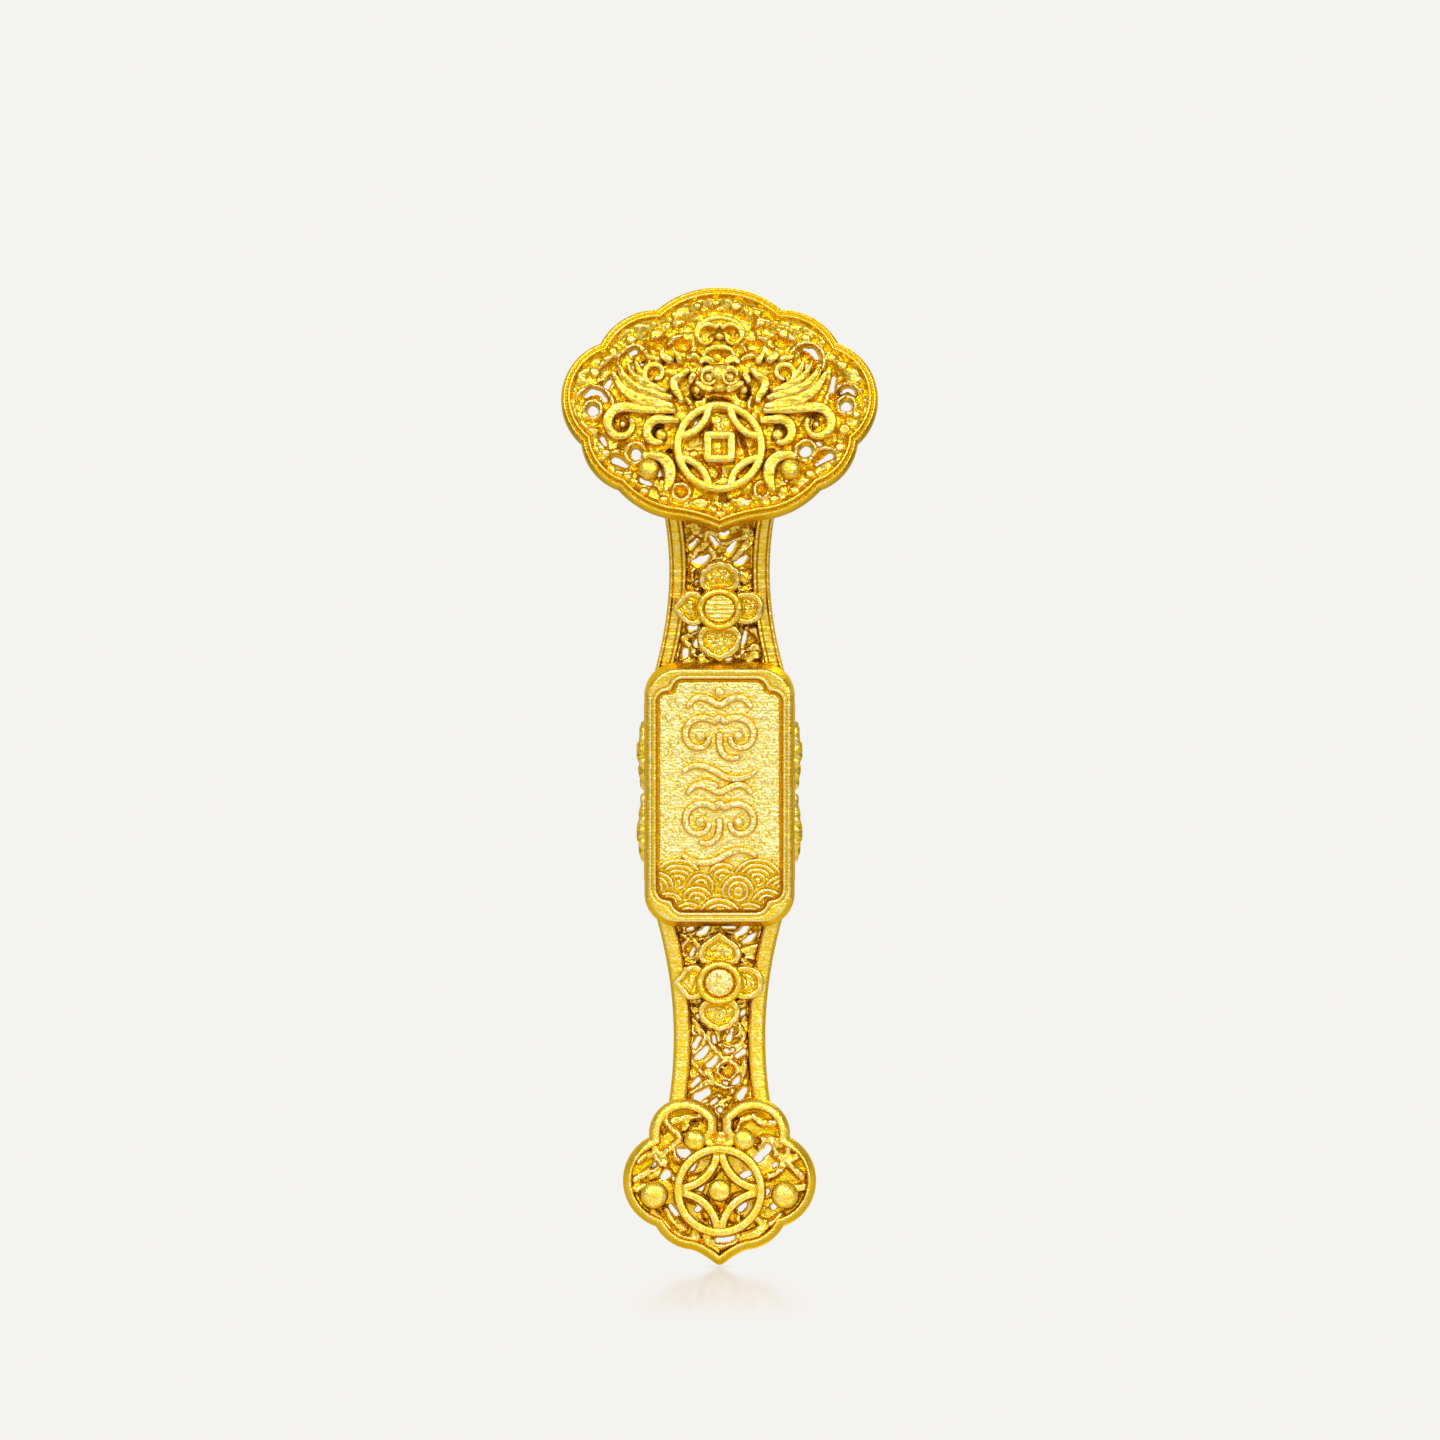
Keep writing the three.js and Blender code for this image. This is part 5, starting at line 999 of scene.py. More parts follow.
# Stem: pierced panels between the rails, with vines over a deep ground; along is counted from the middle
stemVines = {
    "pitch": 0.09, "floor": 1.75, "back": 0.9, "bank": 0.4, "bankWide": 0.7, "crumb": 0.2, "grit": 0.2,
    "cell": 0.7, "pit": 0.2, "pits": [], "patches": [],
    "broad": 1.4, "lift": 0.85, "flat": 0.2, "reach": 5.6, "overlap": 0.12, "endGap": 0.05,
    1: {"window": (12.5, 30.9), "holes": [
        ([(0.05, 26.9), (0.5, 26.6), (0.85, 26.95)], (0.2, 0.28, 0.2)),
        ([(-0.96, 26.6), (-0.3, 25.65)], (0.12, 0.2)),
        ([(-2.9, 25.5), (-2.3, 26.15)], (0.2, 0.16)), ([(0.97, 25.0), (1.58, 25.95)], (0.28, 0.2)),
        ([(-2.75, 23.9), (-2.0, 23.8), (-1.2, 24.4)], (0.2, 0.4, 0.16)),
        ([(1.6, 23.8), (2.1, 23.7), (2.7, 24.35)], (0.2, 0.36, 0.18)),
        ([(-2.4, 21.6), (-2.35, 21.7)], 0.16), ([(-2.9, 16.8), (-2.6, 16.9)], 0.27),
        ([(-2.4, 15.1), (-2.2, 15.3)], (0.2, 0.28)),
        ([(-3.5, 14.0), (-3.5, 14.4)], 0.3), ([(2.66, 16.3), (2.5, 15.6), (2.1, 15.0)], (0.14, 0.28, 0.16)),
        ([(0.88, 13.7), (0.9, 13.75)], 0.26),
        ([(-1.9, 28.6), (-1.2, 29.2)], (0.3, 0.4)), ([(1.4, 28.5), (2.1, 29.1)], (0.4, 0.3)),
        ([(-0.2, 28.2), (0.1, 28.7)], 0.26),
    ], "bars": [
        ([(-1.9, 27.0), (-1.15, 27.25), (-0.35, 27.0), (0.05, 26.3), (0.85, 25.95), (1.85, 26.6),
          (3.3, 27.1)], 0.32, 1.35),
        ([(-3.3, 24.2), (-2.2, 25.2), (-1.3, 26.1), (-0.8, 27.0)], (0.36, 0.4, 0.36), 1.4),
        ([(-1.2, 26.1), (-0.75, 25.4), (-0.55, 24.6)], (0.32, 0.28), 1.2),
        ([(1.3, 24.1), (2.1, 25.2), (2.9, 26.0), (3.5, 26.4)], 0.38, 1.4),
        ([(-2.5, 27.4), (-2.3, 27.6)], 0.45, 1.3), ([(2.7, 27.5), (2.9, 27.4)], 0.42, 1.25),
        ([(-3.4, 26.5), (-2.9, 26.7)], 0.34, 1.1),
        (ringPath((-0.1, 22.9), 1.15), (*(0.62, 0.5) * 5, 0.62), 1.4),
        ([(-0.15, 22.9), (-0.1, 22.95)], 0.7, 1.5),
        ([(-2.95, 22.4), (-2.6, 23.4)], (0.36, 0.44), 1.2), ([(-3.0, 21.9), (-2.7, 22.1)], 0.4, 1.1),
        ([(1.05, 21.8), (2.2, 22.2), (3.3, 22.4)], (0.55, 0.75, 0.6), 1.3),
        ([(-3.8, 15.7), (-2.75, 16.3), (-2.1, 17.0)], 0.32, 1.25),
        ([(-3.5, 15.3), (-2.7, 14.6), (-2.3, 13.9)], 0.36, 1.2),
        ([(-1.4, 13.7), (-1.2, 13.7)], 0.65, 1.3), ([(1.5, 14.1), (1.7, 14.1)], 0.72, 1.3),
        ([(3.3, 13.6), (3.5, 13.7)], 0.62, 1.2),
        ([(3.5, 16.5), (3.7, 16.6)], 0.45, 1.2), ([(2.8, 16.8), (3.9, 16.0)], 0.3, 1.2),
        ([(2.9, 14.6), (3.6, 14.9), (4.4, 14.6)], (0.3, 0.4, 0.3), 1.1),
        ([(-0.3, 14.9), (0.0, 14.2), (0.2, 13.2)], (0.3, 0.4), 1.0),
        ([(-3.6, 19.0), (-2.9, 20.6), (-3.4, 21.2)], 0.35, 1.0),
        ([(-3.4, 29.0), (-1.8, 29.6), (0.3, 29.2), (2.0, 29.8), (3.6, 29.2)], 0.4, 1.2),
        ([(-3.3, 28.2), (-2.4, 28.2)], 0.4, 1.1),
        ([(2.0, 20.9), (3.2, 21.0)], 0.42, 1.2), ([(-2.2, 20.9), (-3.0, 20.7)], 0.42, 1.2),
    ]},
    -1: {"window": (12.5, 34.6), "broad": 1.42, "pit": 0.5,
         "pits": [([(0.83, 28.95), (0.87, 29.0)], 0.6), ([(2.3, 28.2), (2.2, 29.4)], 0.25)], "holes": [
        ([(-3.2, 14.2), (-2.8, 14.1)], 0.15),
        ([(-2.15, 14.65), (-1.6, 14.5), (-1.2, 13.95)], (0.2, 0.26, 0.16)),
        ([(0.4, 13.9), (1.45, 13.95)], (0.22, 0.18)),
        ([(1.8, 14.7), (2.4, 14.5), (2.8, 13.9)], (0.2, 0.28, 0.18)),
        ([(2.55, 15.5), (3.1, 15.2), (3.6, 14.7)], (0.16, 0.26, 0.18)),
        ([(-2.9, 16.8), (-2.63, 16.2)], 0.14),
        ([(-2.2, 23.25), (-2.1, 23.3)], 0.15), ([(-1.45, 24.05), (-1.1, 24.1)], 0.15),
        ([(1.97, 23.3), (2.47, 22.8)], 0.15), ([(0.95, 25.65), (1.28, 24.75)], (0.24, 0.16)),
        ([(-0.58, 25.45), (-0.52, 25.9)], 0.2), ([(-2.57, 26.3), (-2.1, 25.55)], (0.26, 0.18)),
        ([(-2.5, 27.55), (-1.8, 27.3), (-1.3, 26.6)], (0.16, 0.38, 0.2)),
        ([(0.43, 26.6), (0.9, 27.0), (1.36, 26.75)], (0.12, 0.2, 0.12)),
        ([(1.82, 27.4), (2.44, 26.95)], 0.22),
        ([(-1.46, 28.4), (-0.75, 28.2), (-0.3, 27.55)], (0.14, 0.32, 0.16)),
        ([(0.1, 29.0), (0.3, 28.55), (0.75, 28.3)], (0.08, 0.14, 0.08)),
        ([(1.4, 30.3), (1.75, 30.05), (1.95, 29.6)], (0.12, 0.24, 0.1)),
        ([(0.45, 30.2), (0.75, 30.3), (1.0, 30.4)], (0.1, 0.16, 0.1)),
        ([(-2.8, 30.45), (-2.16, 29.8)], 0.2),
        ([(-2.2, 31.7), (-1.2, 31.1)], (0.44, 0.36)), ([(2.1, 31.55), (2.6, 30.85)], (0.34, 0.2)),
        ([(-0.84, 32.35), (-0.34, 31.95)], 0.17), ([(0.07, 32.95), (0.1, 33.0)], 0.17),
        ([(-2.6, 33.0), (-1.8, 33.2)], 0.35), ([(1.5, 33.0), (2.3, 32.8)], 0.35),
    ], "bars": [
        (ringPath((-3.05, 16.15), 0.82), 0.27, 1.35),
        ([(-3.8, 14.7), (-2.75, 15.1), (-2.0, 16.15), (-2.15, 17.3)], 0.28, 1.3),
        (ringPath((-2.6, 13.3), 1.2), 0.3, 1.3),
        (ringPath((1.45, 13.3), 1.1), 0.3, 1.3),
        (ringPath((3.7, 14.0), 0.7), 0.3, 1.2),
        ([(2.5, 16.2), (3.1, 16.5), (3.9, 16.0)], (0.45, 0.55, 0.4), 1.3),
        ([(2.3, 17.4), (3.1, 17.0), (4.0, 17.5)], 0.36, 1.2),
        ([(1.2, 15.2), (2.0, 15.9), (2.5, 16.2)], 0.3, 1.1),
        ([(-2.6, 23.6), (-2.4, 24.0), (-1.6, 25.0), (-1.7, 26.4), (-2.4, 27.3)], 0.28, 1.35),
        ([(-2.9, 24.4), (-2.5, 25.2), (-2.0, 24.8)], 0.28, 1.2),
        (ringPath((1.1, 25.2), 1.35), 0.27, 1.4),
        (ringPath((1.5, 24.75), 0.62), 0.2, 1.3),
        ([(-1.0, 24.3), (-1.0, 25.8), (-0.6, 26.7), (0.25, 27.4), (0.85, 27.7), (1.85, 27.15), (2.6, 26.4)],
         0.27, 1.4),
        (ringPath((0.85, 28.97), 1.02), 0.29, 1.5),
        ([(2.45, 27.9), (2.65, 28.9), (2.1, 30.1), (1.0, 30.75), (-0.2, 30.4), (-0.95, 29.6), (-1.2, 28.6)],
         0.27, 1.4),
        ([(-2.9, 28.0), (-2.15, 28.7), (-1.6, 29.3), (-1.0, 28.9)], 0.3, 1.3),
        ([(-2.9, 29.3), (-2.6, 29.5)], 0.42, 1.2),
        ([(-3.2, 31.5), (-2.2, 30.8), (-1.3, 30.2), (-0.8, 30.2)], 0.32, 1.35),
        ([(-0.1, 31.6), (-0.7, 32.4), (-0.25, 32.9), (-0.2, 34.4)], 0.38, 1.3),
        ([(1.4, 31.2), (0.8, 32.2), (-0.1, 32.7)], 0.34, 1.3),
        ([(2.5, 27.7), (2.7, 28.9), (2.6, 30.2)], 0.3, 1.1),
        ([(-2.7, 22.3), (-2.2, 22.9)], 0.4, 1.2), ([(2.1, 21.8), (2.4, 21.9)], 0.42, 1.2),
        ([(1.9, 22.6), (2.6, 23.6), (2.7, 24.6)], 0.32, 1.2), ([(-2.7, 27.0), (-2.9, 26.4)], 0.35, 1.1),
        ([(-2.8, 33.8), (0.0, 33.9), (2.8, 33.8)], 0.34, 1.1), ([(2.3, 31.9), (2.8, 32.4)], 0.34, 1.1),
        ([(2.2, 18.0), (3.5, 17.8)], 0.42, 1.2), ([(-2.2, 17.9), (-3.5, 17.8)], 0.42, 1.2),
        ([(-2.2, 21.4), (-2.9, 21.3)], 0.42, 1.2), ([(2.4, 21.3), (3.0, 21.2)], 0.42, 1.2),
    ]},
}
for side, arm in ((1, "upper"), (-1, "lower")):
    low, high = stemVines[side]["window"]
    gridX, gridY = flatGrid((-stemVines["reach"], low), (stemVines["reach"], high), stemVines["pitch"])
    between = stemHalfWidth(side * gridY) - stemForm["rail"] + stemVines["overlap"] - np.abs(gridX)
    cover = np.minimum(between, np.minimum(gridY - low, high - gridY) - stemVines["endGap"])
    vines = reliefSheet({**stemVines, **stemVines[side]}, gridX, gridY, cover,
                        lambda a, b, c: stemPlace(a, side * b, c), seed=60 + side)
    makePiece(f"{arm}_openwork", [vines], "cast_gold")


# Flowers: four petals with a raised border and a sunk, crumbed field, on a peg; a bezel and a grained boss.
# Petals are half outlines of (across, out) to a reach of 1, and each flower names its petals from the top,
# clockwise. A border's crest lies some way in, with a half width. Bezel and boss are (radius, height)
petalForms = {
    "pointed": [(0.0, 1.0), (0.05, 0.95), (0.17, 0.86), (0.32, 0.76), (0.41, 0.6), (0.4, 0.44),
                (0.28, 0.3)],
    "round": [(0.0, 1.0), (0.2, 0.98), (0.36, 0.84), (0.42, 0.64), (0.4, 0.44), (0.28, 0.3)],
    "scalloped": [(0.0, 1.0), (0.1, 0.93), (0.22, 0.92), (0.27, 0.83), (0.37, 0.78), (0.38, 0.66),
                  (0.41, 0.52), (0.34, 0.38), (0.24, 0.3)],
}
flowerForm = {
    "pitch": 0.085, "reach": (5.6, 5.8), "base": 3.8, "under": 0.35, "edgeRound": 0.2, "border": 0.75,
    "crest": 0.38, "crestHalf": 0.46, "rise": 0.68, "sink": 0.55, "crumb": 0.36, "cell": 0.6,
    "peg": 1.1, "pegFoot": 1.2, "pegTop": 4.0, "middle": 0.6, "ragged": 0.07, "lump": 0.04,
    "borderFade": 0.14, "crumbFrom": 0.1, "crumbFade": 0.2,
    1: {"place": 19.2,
        "petals": [("scalloped", 5.5), ("round", 4.58), ("scalloped", 5.9), ("pointed", 4.98)],
        "hole": 1.58, "ridges": 0.06, "bossFinish": "satin_gold"},
    -1: {"place": 19.6,
         "petals": [("pointed", 5.6), ("round", 4.55), ("scalloped", 5.45), ("pointed", 4.87)],
         "hole": 1.48, "ridges": 0.0, "bossFinish": "stippled_gold"},
    "bezel": [(0.0, 4.2), (2.2, 4.2), (2.36, 4.5), (2.42, 4.85), (2.38, 5.2), (2.22, 5.46), (1.98, 5.54),
              (1.76, 5.46), (1.62, 5.2), (1.56, 4.9), (0, 4.85)],
    "boss": [(0.0, 4.7), (0.97, 4.7), (1.0, 5.0), (0.95, 5.15), (0.7, 5.24), (0.4, 5.28), (0, 5.3)],
}


# A flower's plane, about its own middle on the stem
def flowerPlace(side):
    return lambda a, b, c: stemPlace(a, side * flowerForm[side]["place"] + b, c)


# Petals: cover is the depth inside the nearest of four outlines, each turned by a quarter. The border falls
# off with the fourth power of the distance from its crest, and gives way to the sunk field inside
def petalSheet(form, side):
    reach = np.array(form["reach"])
    gridX, gridY = flatGrid(-reach, reach, form["pitch"])
    cover = np.full(gridX.shape, outside)
    for k, (kind, length) in enumerate(form[side]["petals"]):
        half = np.array(petalForms[kind])
        loop = softSection(np.concatenate((half, half[:0:-1] * (-1, 1))) * length, rounds=3)
        middle = np.array((0, form["middle"] * length))
        a, b = quarterTurn(np.stack((gridX.ravel(), gridY.ravel()), 1), k).T.reshape(2, *gridX.shape)
        cover = np.maximum(cover, loopField(a, b - middle[1], loop - middle))
    cover = cover + form["ragged"] * softNoise(gridX, gridY, cell=0.8, seed=71 + side)
    lip = form["rise"] * np.clip(1 - ((cover - form["crest"]) / form["crestHalf"]) ** 4, 0, 1)
    lip = lip + form["lump"] * softNoise(gridX, gridY, cell=0.5, seed=72)
    crumbed = np.clip((cover - form["border"] - form["crumbFrom"]) / form["crumbFade"], 0, 1)
    grain = form["crumb"] * crumbs(gridX, gridY, form["cell"], 73 + side) * crumbed
    field = form["rise"] - form["sink"] + grain
    inner = np.clip((cover - form["border"]) / form["borderFade"], 0, 1)
    soft = shoulder(cover, form["edgeRound"])
    front = form["base"] + (lip * (1 - inner) + field * inner) * soft
    back = form["base"] - form["under"] * soft
    return sheetShell(gridX, gridY, cover, front, back, form["base"], flowerPlace(side))


# A profile with each of its lengths cut in equal steps
def fineProfile(profile, steps=6):
    profile = np.array(profile)
    cuts = [np.linspace(start, end, steps + 1)[:-1] for start, end in zip(profile[:-1], profile[1:])]
    return np.concatenate(cuts + [profile[-1:]])


# The upper boss is ridged, the lower one stippled
for side, arm in ((1, "upper"), (-1, "lower")):
    place, hole = flowerPlace(side), flowerForm[side]["hole"]
    foot, top = flowerForm["pegFoot"], flowerForm["pegTop"]
    peg = turnedShell([(0, foot), (1, foot), (1, top), (0, top)], (0, 0), (flowerForm["peg"],) * 2, place,
                      sides=32)
    bezel = turnedShell(fineProfile(flowerForm["bezel"]), (0, 0), (1, 1), place, sides=72, wobble=0.07,
                        seed=81)
    boss = turnedShell(fineProfile(flowerForm["boss"]), (0, 0), (hole, hole), place, sides=72, wobble=0.08,
                       seed=81, ridges=flowerForm[side]["ridges"])
    makePiece(f"{arm}_flower_petals", [petalSheet(flowerForm, side), peg], "cast_gold")
    makePiece(f"{arm}_flower_bezel", [bezel], "satin_gold")
    makePiece(f"{arm}_flower_boss", [boss], flowerForm[side]["bossFinish"])


# Tablet: a framed plate whose panel has indented corners; heights are counted from the stem's back
tabletForm = {
    "width": 15.4, "length": 26.7, "corner": 3.4, "pitch": 0.085, "foot": 3.42, "floor": 5.1, "front": 5.52,
    # the panel's margins at the side, above and below
    "margins": (1.42, 1.8, 1.4),
    # height over distance in from the outer edge, and over distance out from the panel's edge
    "bevel": ((0.0, 0.05, 0.14, 0.24, 0.34, 0.5, 0.85, 3.0), (4.0, 4.5, 5.1, 5.5, 5.7, 5.82, 5.9, 5.96)),
    "ridge": ((-0.3, 0.06, 0.14, 0.22, 0.3, 0.42, 0.5, 0.57, 0.63, 0.72, 3.0),
              (5.1, 5.12, 5.4, 5.86, 5.98, 5.98, 5.9, 5.66, 5.68, 5.92, 6.0)),
    "notch": (1.64, 1.26), "notchRound": 0.95,
    # the frame reaches further down by twice the drop, and its ends slope more gently
    "drop": 0.2, "endBevel": ((0.0, 0.08, 0.58, 0.68, 0.8, 3.0), (4.0, 4.4, 5.72, 5.88, 5.95, 5.96)),
    "endFrom": 10.8, "endFade": 1.6, "lap": 0.6, "footRise": 0.1, "lump": 0.02,
    # the panel's own grid and edge
    "panelReach": (6.7, 12.4), "panelPitch": 0.1, "panelGap": 0.05, "panelRound": 0.22, "panelUnder": 0.1,
    "panelCrumb": 0.05, "panelSwell": 0.03,
}


# Depth inside the panel: a narrow tall rectangle joined with a wide short one, less an inset
def panelField(gridX, gridY, form, inset):
    side, above, below = form["margins"]
    halfWidth, halfLength = form["width"] / 2 - side - inset, (form["length"] - above - below) / 2 - inset
    middle = (below - above) / 2
    tall = boxField(gridX, gridY - middle, halfWidth - form["notch"][0], halfLength, form["notchRound"])
    wide = boxField(gridX, gridY - middle, halfWidth, halfLength - form["notch"][1], form["notchRound"])
    return weld(tall, wide, 0.5)


# Frame: the lower of a bevel over the distance in from the outer edge and a ridge over the distance out from
# the panel's edge. Towards both ends the bevel goes over to the ends' own
def frameSheet(form):
    width, length, drop = form["width"] / 2, form["length"] / 2 + form["drop"], form["drop"]
    gridX, gridY = flatGrid((-width, -length - drop), (width, length), form["pitch"])
    outer = boxField(gridX, gridY + drop, width, length, form["corner"])
    inner = -panelField(gridX, gridY, form, 0)
    end = np.clip((np.abs(gridY) - form["endFrom"]) / form["endFade"], 0, 1)
    bevel = (1 - end) * np.interp(outer, *form["bevel"]) + end * np.interp(outer, *form["endBevel"])
    front = np.minimum(bevel, np.interp(inner, *form["ridge"]))
    front = front + form["lump"] * softNoise(gridX, gridY, cell=0.5, seed=87)
    back = np.full(gridX.shape, form["foot"])
    cover = np.minimum(outer, inner + form["lap"])
    return sheetShell(gridX, gridY, cover, front, back, form["foot"] + form["footRise"], stemPlace)


makePiece("tablet_frame", [frameSheet(tabletForm)], "satin_gold")


# Panel: a flat field of fine crumbs, rounded off at the panel's edge
def panelSheet(form):
    reach = np.array(form["panelReach"])
    gridX, gridY = flatGrid(-reach, reach, form["panelPitch"])
    cover = panelField(gridX, gridY, form, form["panelGap"])
    grain = form["panelCrumb"] * crumbs(gridX, gridY, cell=0.45, seed=91)
    grain = grain + form["panelSwell"] * softNoise(gridX, gridY, cell=0.9, seed=92) - form["panelCrumb"]
    front = form["floor"] + (form["front"] - form["floor"] + grain) * shoulder(cover, form["panelRound"])
    back = np.full(gridX.shape, form["floor"] - form["panelUnder"])
    return sheetShell(gridX, gridY, cover, front, back, form["floor"], stemPlace)


makePiece("tablet_panel", [panelSheet(tabletForm)], "stippled_gold")

# Waves at the tablet's foot: fans of (across, along, radius), each over the one before
waveForm = {
    "low": (-6.7, -12.3), "high": (6.7, -5.7), "pitch": 0.075, "ripple": 0.58, "rise": 0.5, "base": 5.5,
    "gap": 0.18, "sink": 0.1, "power": 0.7, "squeeze": 0.1, "ragged": 0.05, "fanRound": 0.1,
    "edgeRound": 0.12, "edgeUnder": 0.2, "under": 0.3,
    "fans": [(0.3, -8.6, 1.9), (-4.2, -9.0, 2.9), (3.9, -8.8, 2.9), (-1.9, -9.5, 1.7), (-6.5, -9.6, 2.2),
             (6.6, -10.0, 2.4), (1.9, -10.0, 2.0), (-2.3, -10.9, 1.9), (-5.2, -11.4, 1.9),
             (4.9, -11.5, 2.1), (-3.1, -12.7, 2.1), (3.0, -12.7, 2.2), (0.0, -12.9, 2.6)],
}


# A fan's ripples: a power of the sine of the distance in from its edge, over the ripple's pitch. Fans are
# squeezed by one of three shares in turn
def waveSheet(form):
    gridX, gridY = flatGrid(form["low"], form["high"], form["pitch"])
    base, sink, gap = form["base"], form["sink"], form["gap"]
    cover, front = np.full(gridX.shape, outside), np.full(gridX.shape, base)
    ragged = form["ragged"] * softNoise(gridX, gridY, cell=0.8, seed=94)
    for k, (x, y, radius) in enumerate(form["fans"]):
        far = np.hypot(gridX - x, (gridY - y) * (1.0 + form["squeeze"] * (k % 3))) + ragged
        inside = radius - far
        ripple = np.abs(np.sin(np.pi * (inside - gap) / form["ripple"])) ** form["power"]
        fan = base - sink + (sink + form["rise"] * ripple) * shoulder(inside - gap, form["fanRound"])
        front = np.where(inside > 0, fan, front)
        cover = np.maximum(cover, inside)
    cover = np.minimum(cover, panelField(gridX, gridY, tabletForm, tabletForm["panelGap"]))
    front = base - sink + (front - base + sink) * shoulder(cover, form["edgeRound"])
    back = np.full(gridX.shape, base - form["under"])
    return sheetShell(gridX, gridY, cover, front, back, base - form["edgeUnder"], stemPlace)


makePiece("tablet_waves", [waveSheet(waveForm)], "cast_gold")

# Cloud scrolls on the tablet: a crowned pair of volutes with pearls, a brow over it and wisps that trail
# below. Strokes are (points, half width)
tabletCloudForm = {
    "spread": 1.95, "turns": -320, "half": (0.32, 0.42, 0.42, 0.42, 0.32), "broad": 1.12, "base": 5.46,
    "rise": 0.6, "root": 0.3, "flank": 0.45, "sides": 20, "pearl": 0.54,
}
tabletClouds = {
    "upper": {"height": 5.9, "strokes": [
        ([(-3.4, 8.7), (-2.4, 10.0), (-1.0, 9.7), (0.0, 8.9), (1.0, 9.7), (2.4, 10.0), (3.4, 8.7)],
         (0.3, 0.42, 0.42, 0.42, 0.3)),
        ([(-3.9, 2.2), (-2.4, 3.1), (-0.6, 2.5), (0.6, 1.6), (2.4, 1.5), (3.9, 2.4)],
         (0.28, 0.42, 0.42, 0.28)),
        ([(0.0, 6.4), (0.0, 4.4), (1.0, 3.5), (2.2, 3.8)], (0.42, 0.42, 0.28)),
        ([(-2.6, 0.9), (-1.2, 1.3), (0.0, 0.7)], (0.26, 0.36, 0.26)),
    ], "pearls": [(-1.95, 5.9), (1.95, 5.9), (0.0, 10.4)]},
    "lower": {"height": -2.9, "strokes": [
        ([(-3.4, -0.1), (-2.4, 1.1), (-1.0, 0.7), (0.0, 0.0), (1.0, 0.7), (2.4, 1.1), (3.4, -0.1)],
         (0.3, 0.42, 0.42, 0.42, 0.3)),
        ([(3.9, -6.4), (2.4, -5.6), (0.6, -6.2), (-0.6, -7.0), (-2.4, -7.1), (-3.9, -6.2)],
         (0.28, 0.42, 0.42, 0.28)),
        ([(0.0, -2.4), (0.0, -4.3), (-1.0, -5.2), (-2.2, -4.9)], (0.42, 0.42, 0.28)),
    ], "pearls": [(-1.95, -2.9), (1.95, -2.9)]},
}


# A cloud's shells: ribbons along the volutes and strokes, and domes for pearls
def tabletCloudShells(form, cloud):
    volutes = cloudPath(form["spread"], cloud["height"], form["turns"])
    shells = [ribbonShell(path, form["broad"] * np.array(half), form["base"], form["rise"], form["root"],
                          stemPlace, form["flank"], form["sides"])
              for path, half in [(volutes, form["half"])] + [(softPath(points), half)
                                                             for points, half in cloud["strokes"]]]
    pearl = domeProfile(foot=5.4, base=5.75, rise=0.28)
    return shells + [turnedShell(pearl, spot, (form["pearl"],) * 2, stemPlace, sides=28)
                     for spot in cloud["pearls"]]


for name, cloud in tabletClouds.items():
    makePiece(f"tablet_{name}_cloud", tabletCloudShells(tabletCloudForm, cloud), "stippled_gold")

# Sprays on the stem's sides: leaves of (place, half sizes, rise) on both ends; along the stem, then forward
sprayForm = {
    "wall": 7.7, "pitch": 0.08, "low": (-7.3, 0.5), "high": (7.3, 2.9), "most": 0.82,
    "weld": 0.2, "lump": 0.06, "lumpFrom": 0.1, "lift": 0.1, "edgeRound": 0.2, "under": 0.1, "sunk": 0.02,
    "leaves": [((4.1, 1.75), (1.4, 1.1), 0.82), ((5.9, 1.8), (1.1, 0.8), 0.5),
               ((2.3, 1.8), (1.2, 0.8), 0.52), ((6.8, 1.7), (0.5, 0.4), 0.3),
               ((5.3, 2.4), (0.7, 0.45), 0.5), ((3.0, 2.4), (0.7, 0.45), 0.5),
               ((5.3, 1.0), (0.7, 0.45), 0.5), ((3.0, 1.0), (0.7, 0.45), 0.5),
               ((1.0, 1.7), (0.9, 0.5), 0.36)],
}


# A spray: the tallest of half ellipsoids over each point, welded into one outline
def spraySheet(form, side):
    gridX, gridY = flatGrid(form["low"], form["high"], form["pitch"])
    cover, rise = np.full(gridX.shape, outside), np.zeros(gridX.shape)
    for (u, v), (long, wide), tall in form["leaves"]:
        for end in (1, -1):
            far = np.hypot((gridX - end * u) / long, (gridY - v) / wide)
            cover = weld(cover, (1 - far) * min(long, wide), form["weld"])
            rise = np.maximum(rise, tall * np.sqrt(np.clip(1 - far ** 2, 0, 1)))
    rough = form["lump"] * softNoise(gridX, gridY, cell=0.6, seed=97)
    rise = rise + rough * (rise > form["lumpFrom"])
    front = np.clip(rise + form["lift"], 0, form["most"]) * shoulder(cover, form["edgeRound"])
    back = np.full(gridX.shape, -form["under"])
    return sheetShell(gridX, gridY, cover, front, back, 0.0,
                      lambda a, b, c: stemPlace(side * (form["wall"] + c - form["sunk"]), a, b))


for side, hand in ((1, "right"), (-1, "left")):
    makePiece(f"side_spray_{hand}", [spraySheet(sprayForm, side)], "cast_gold")

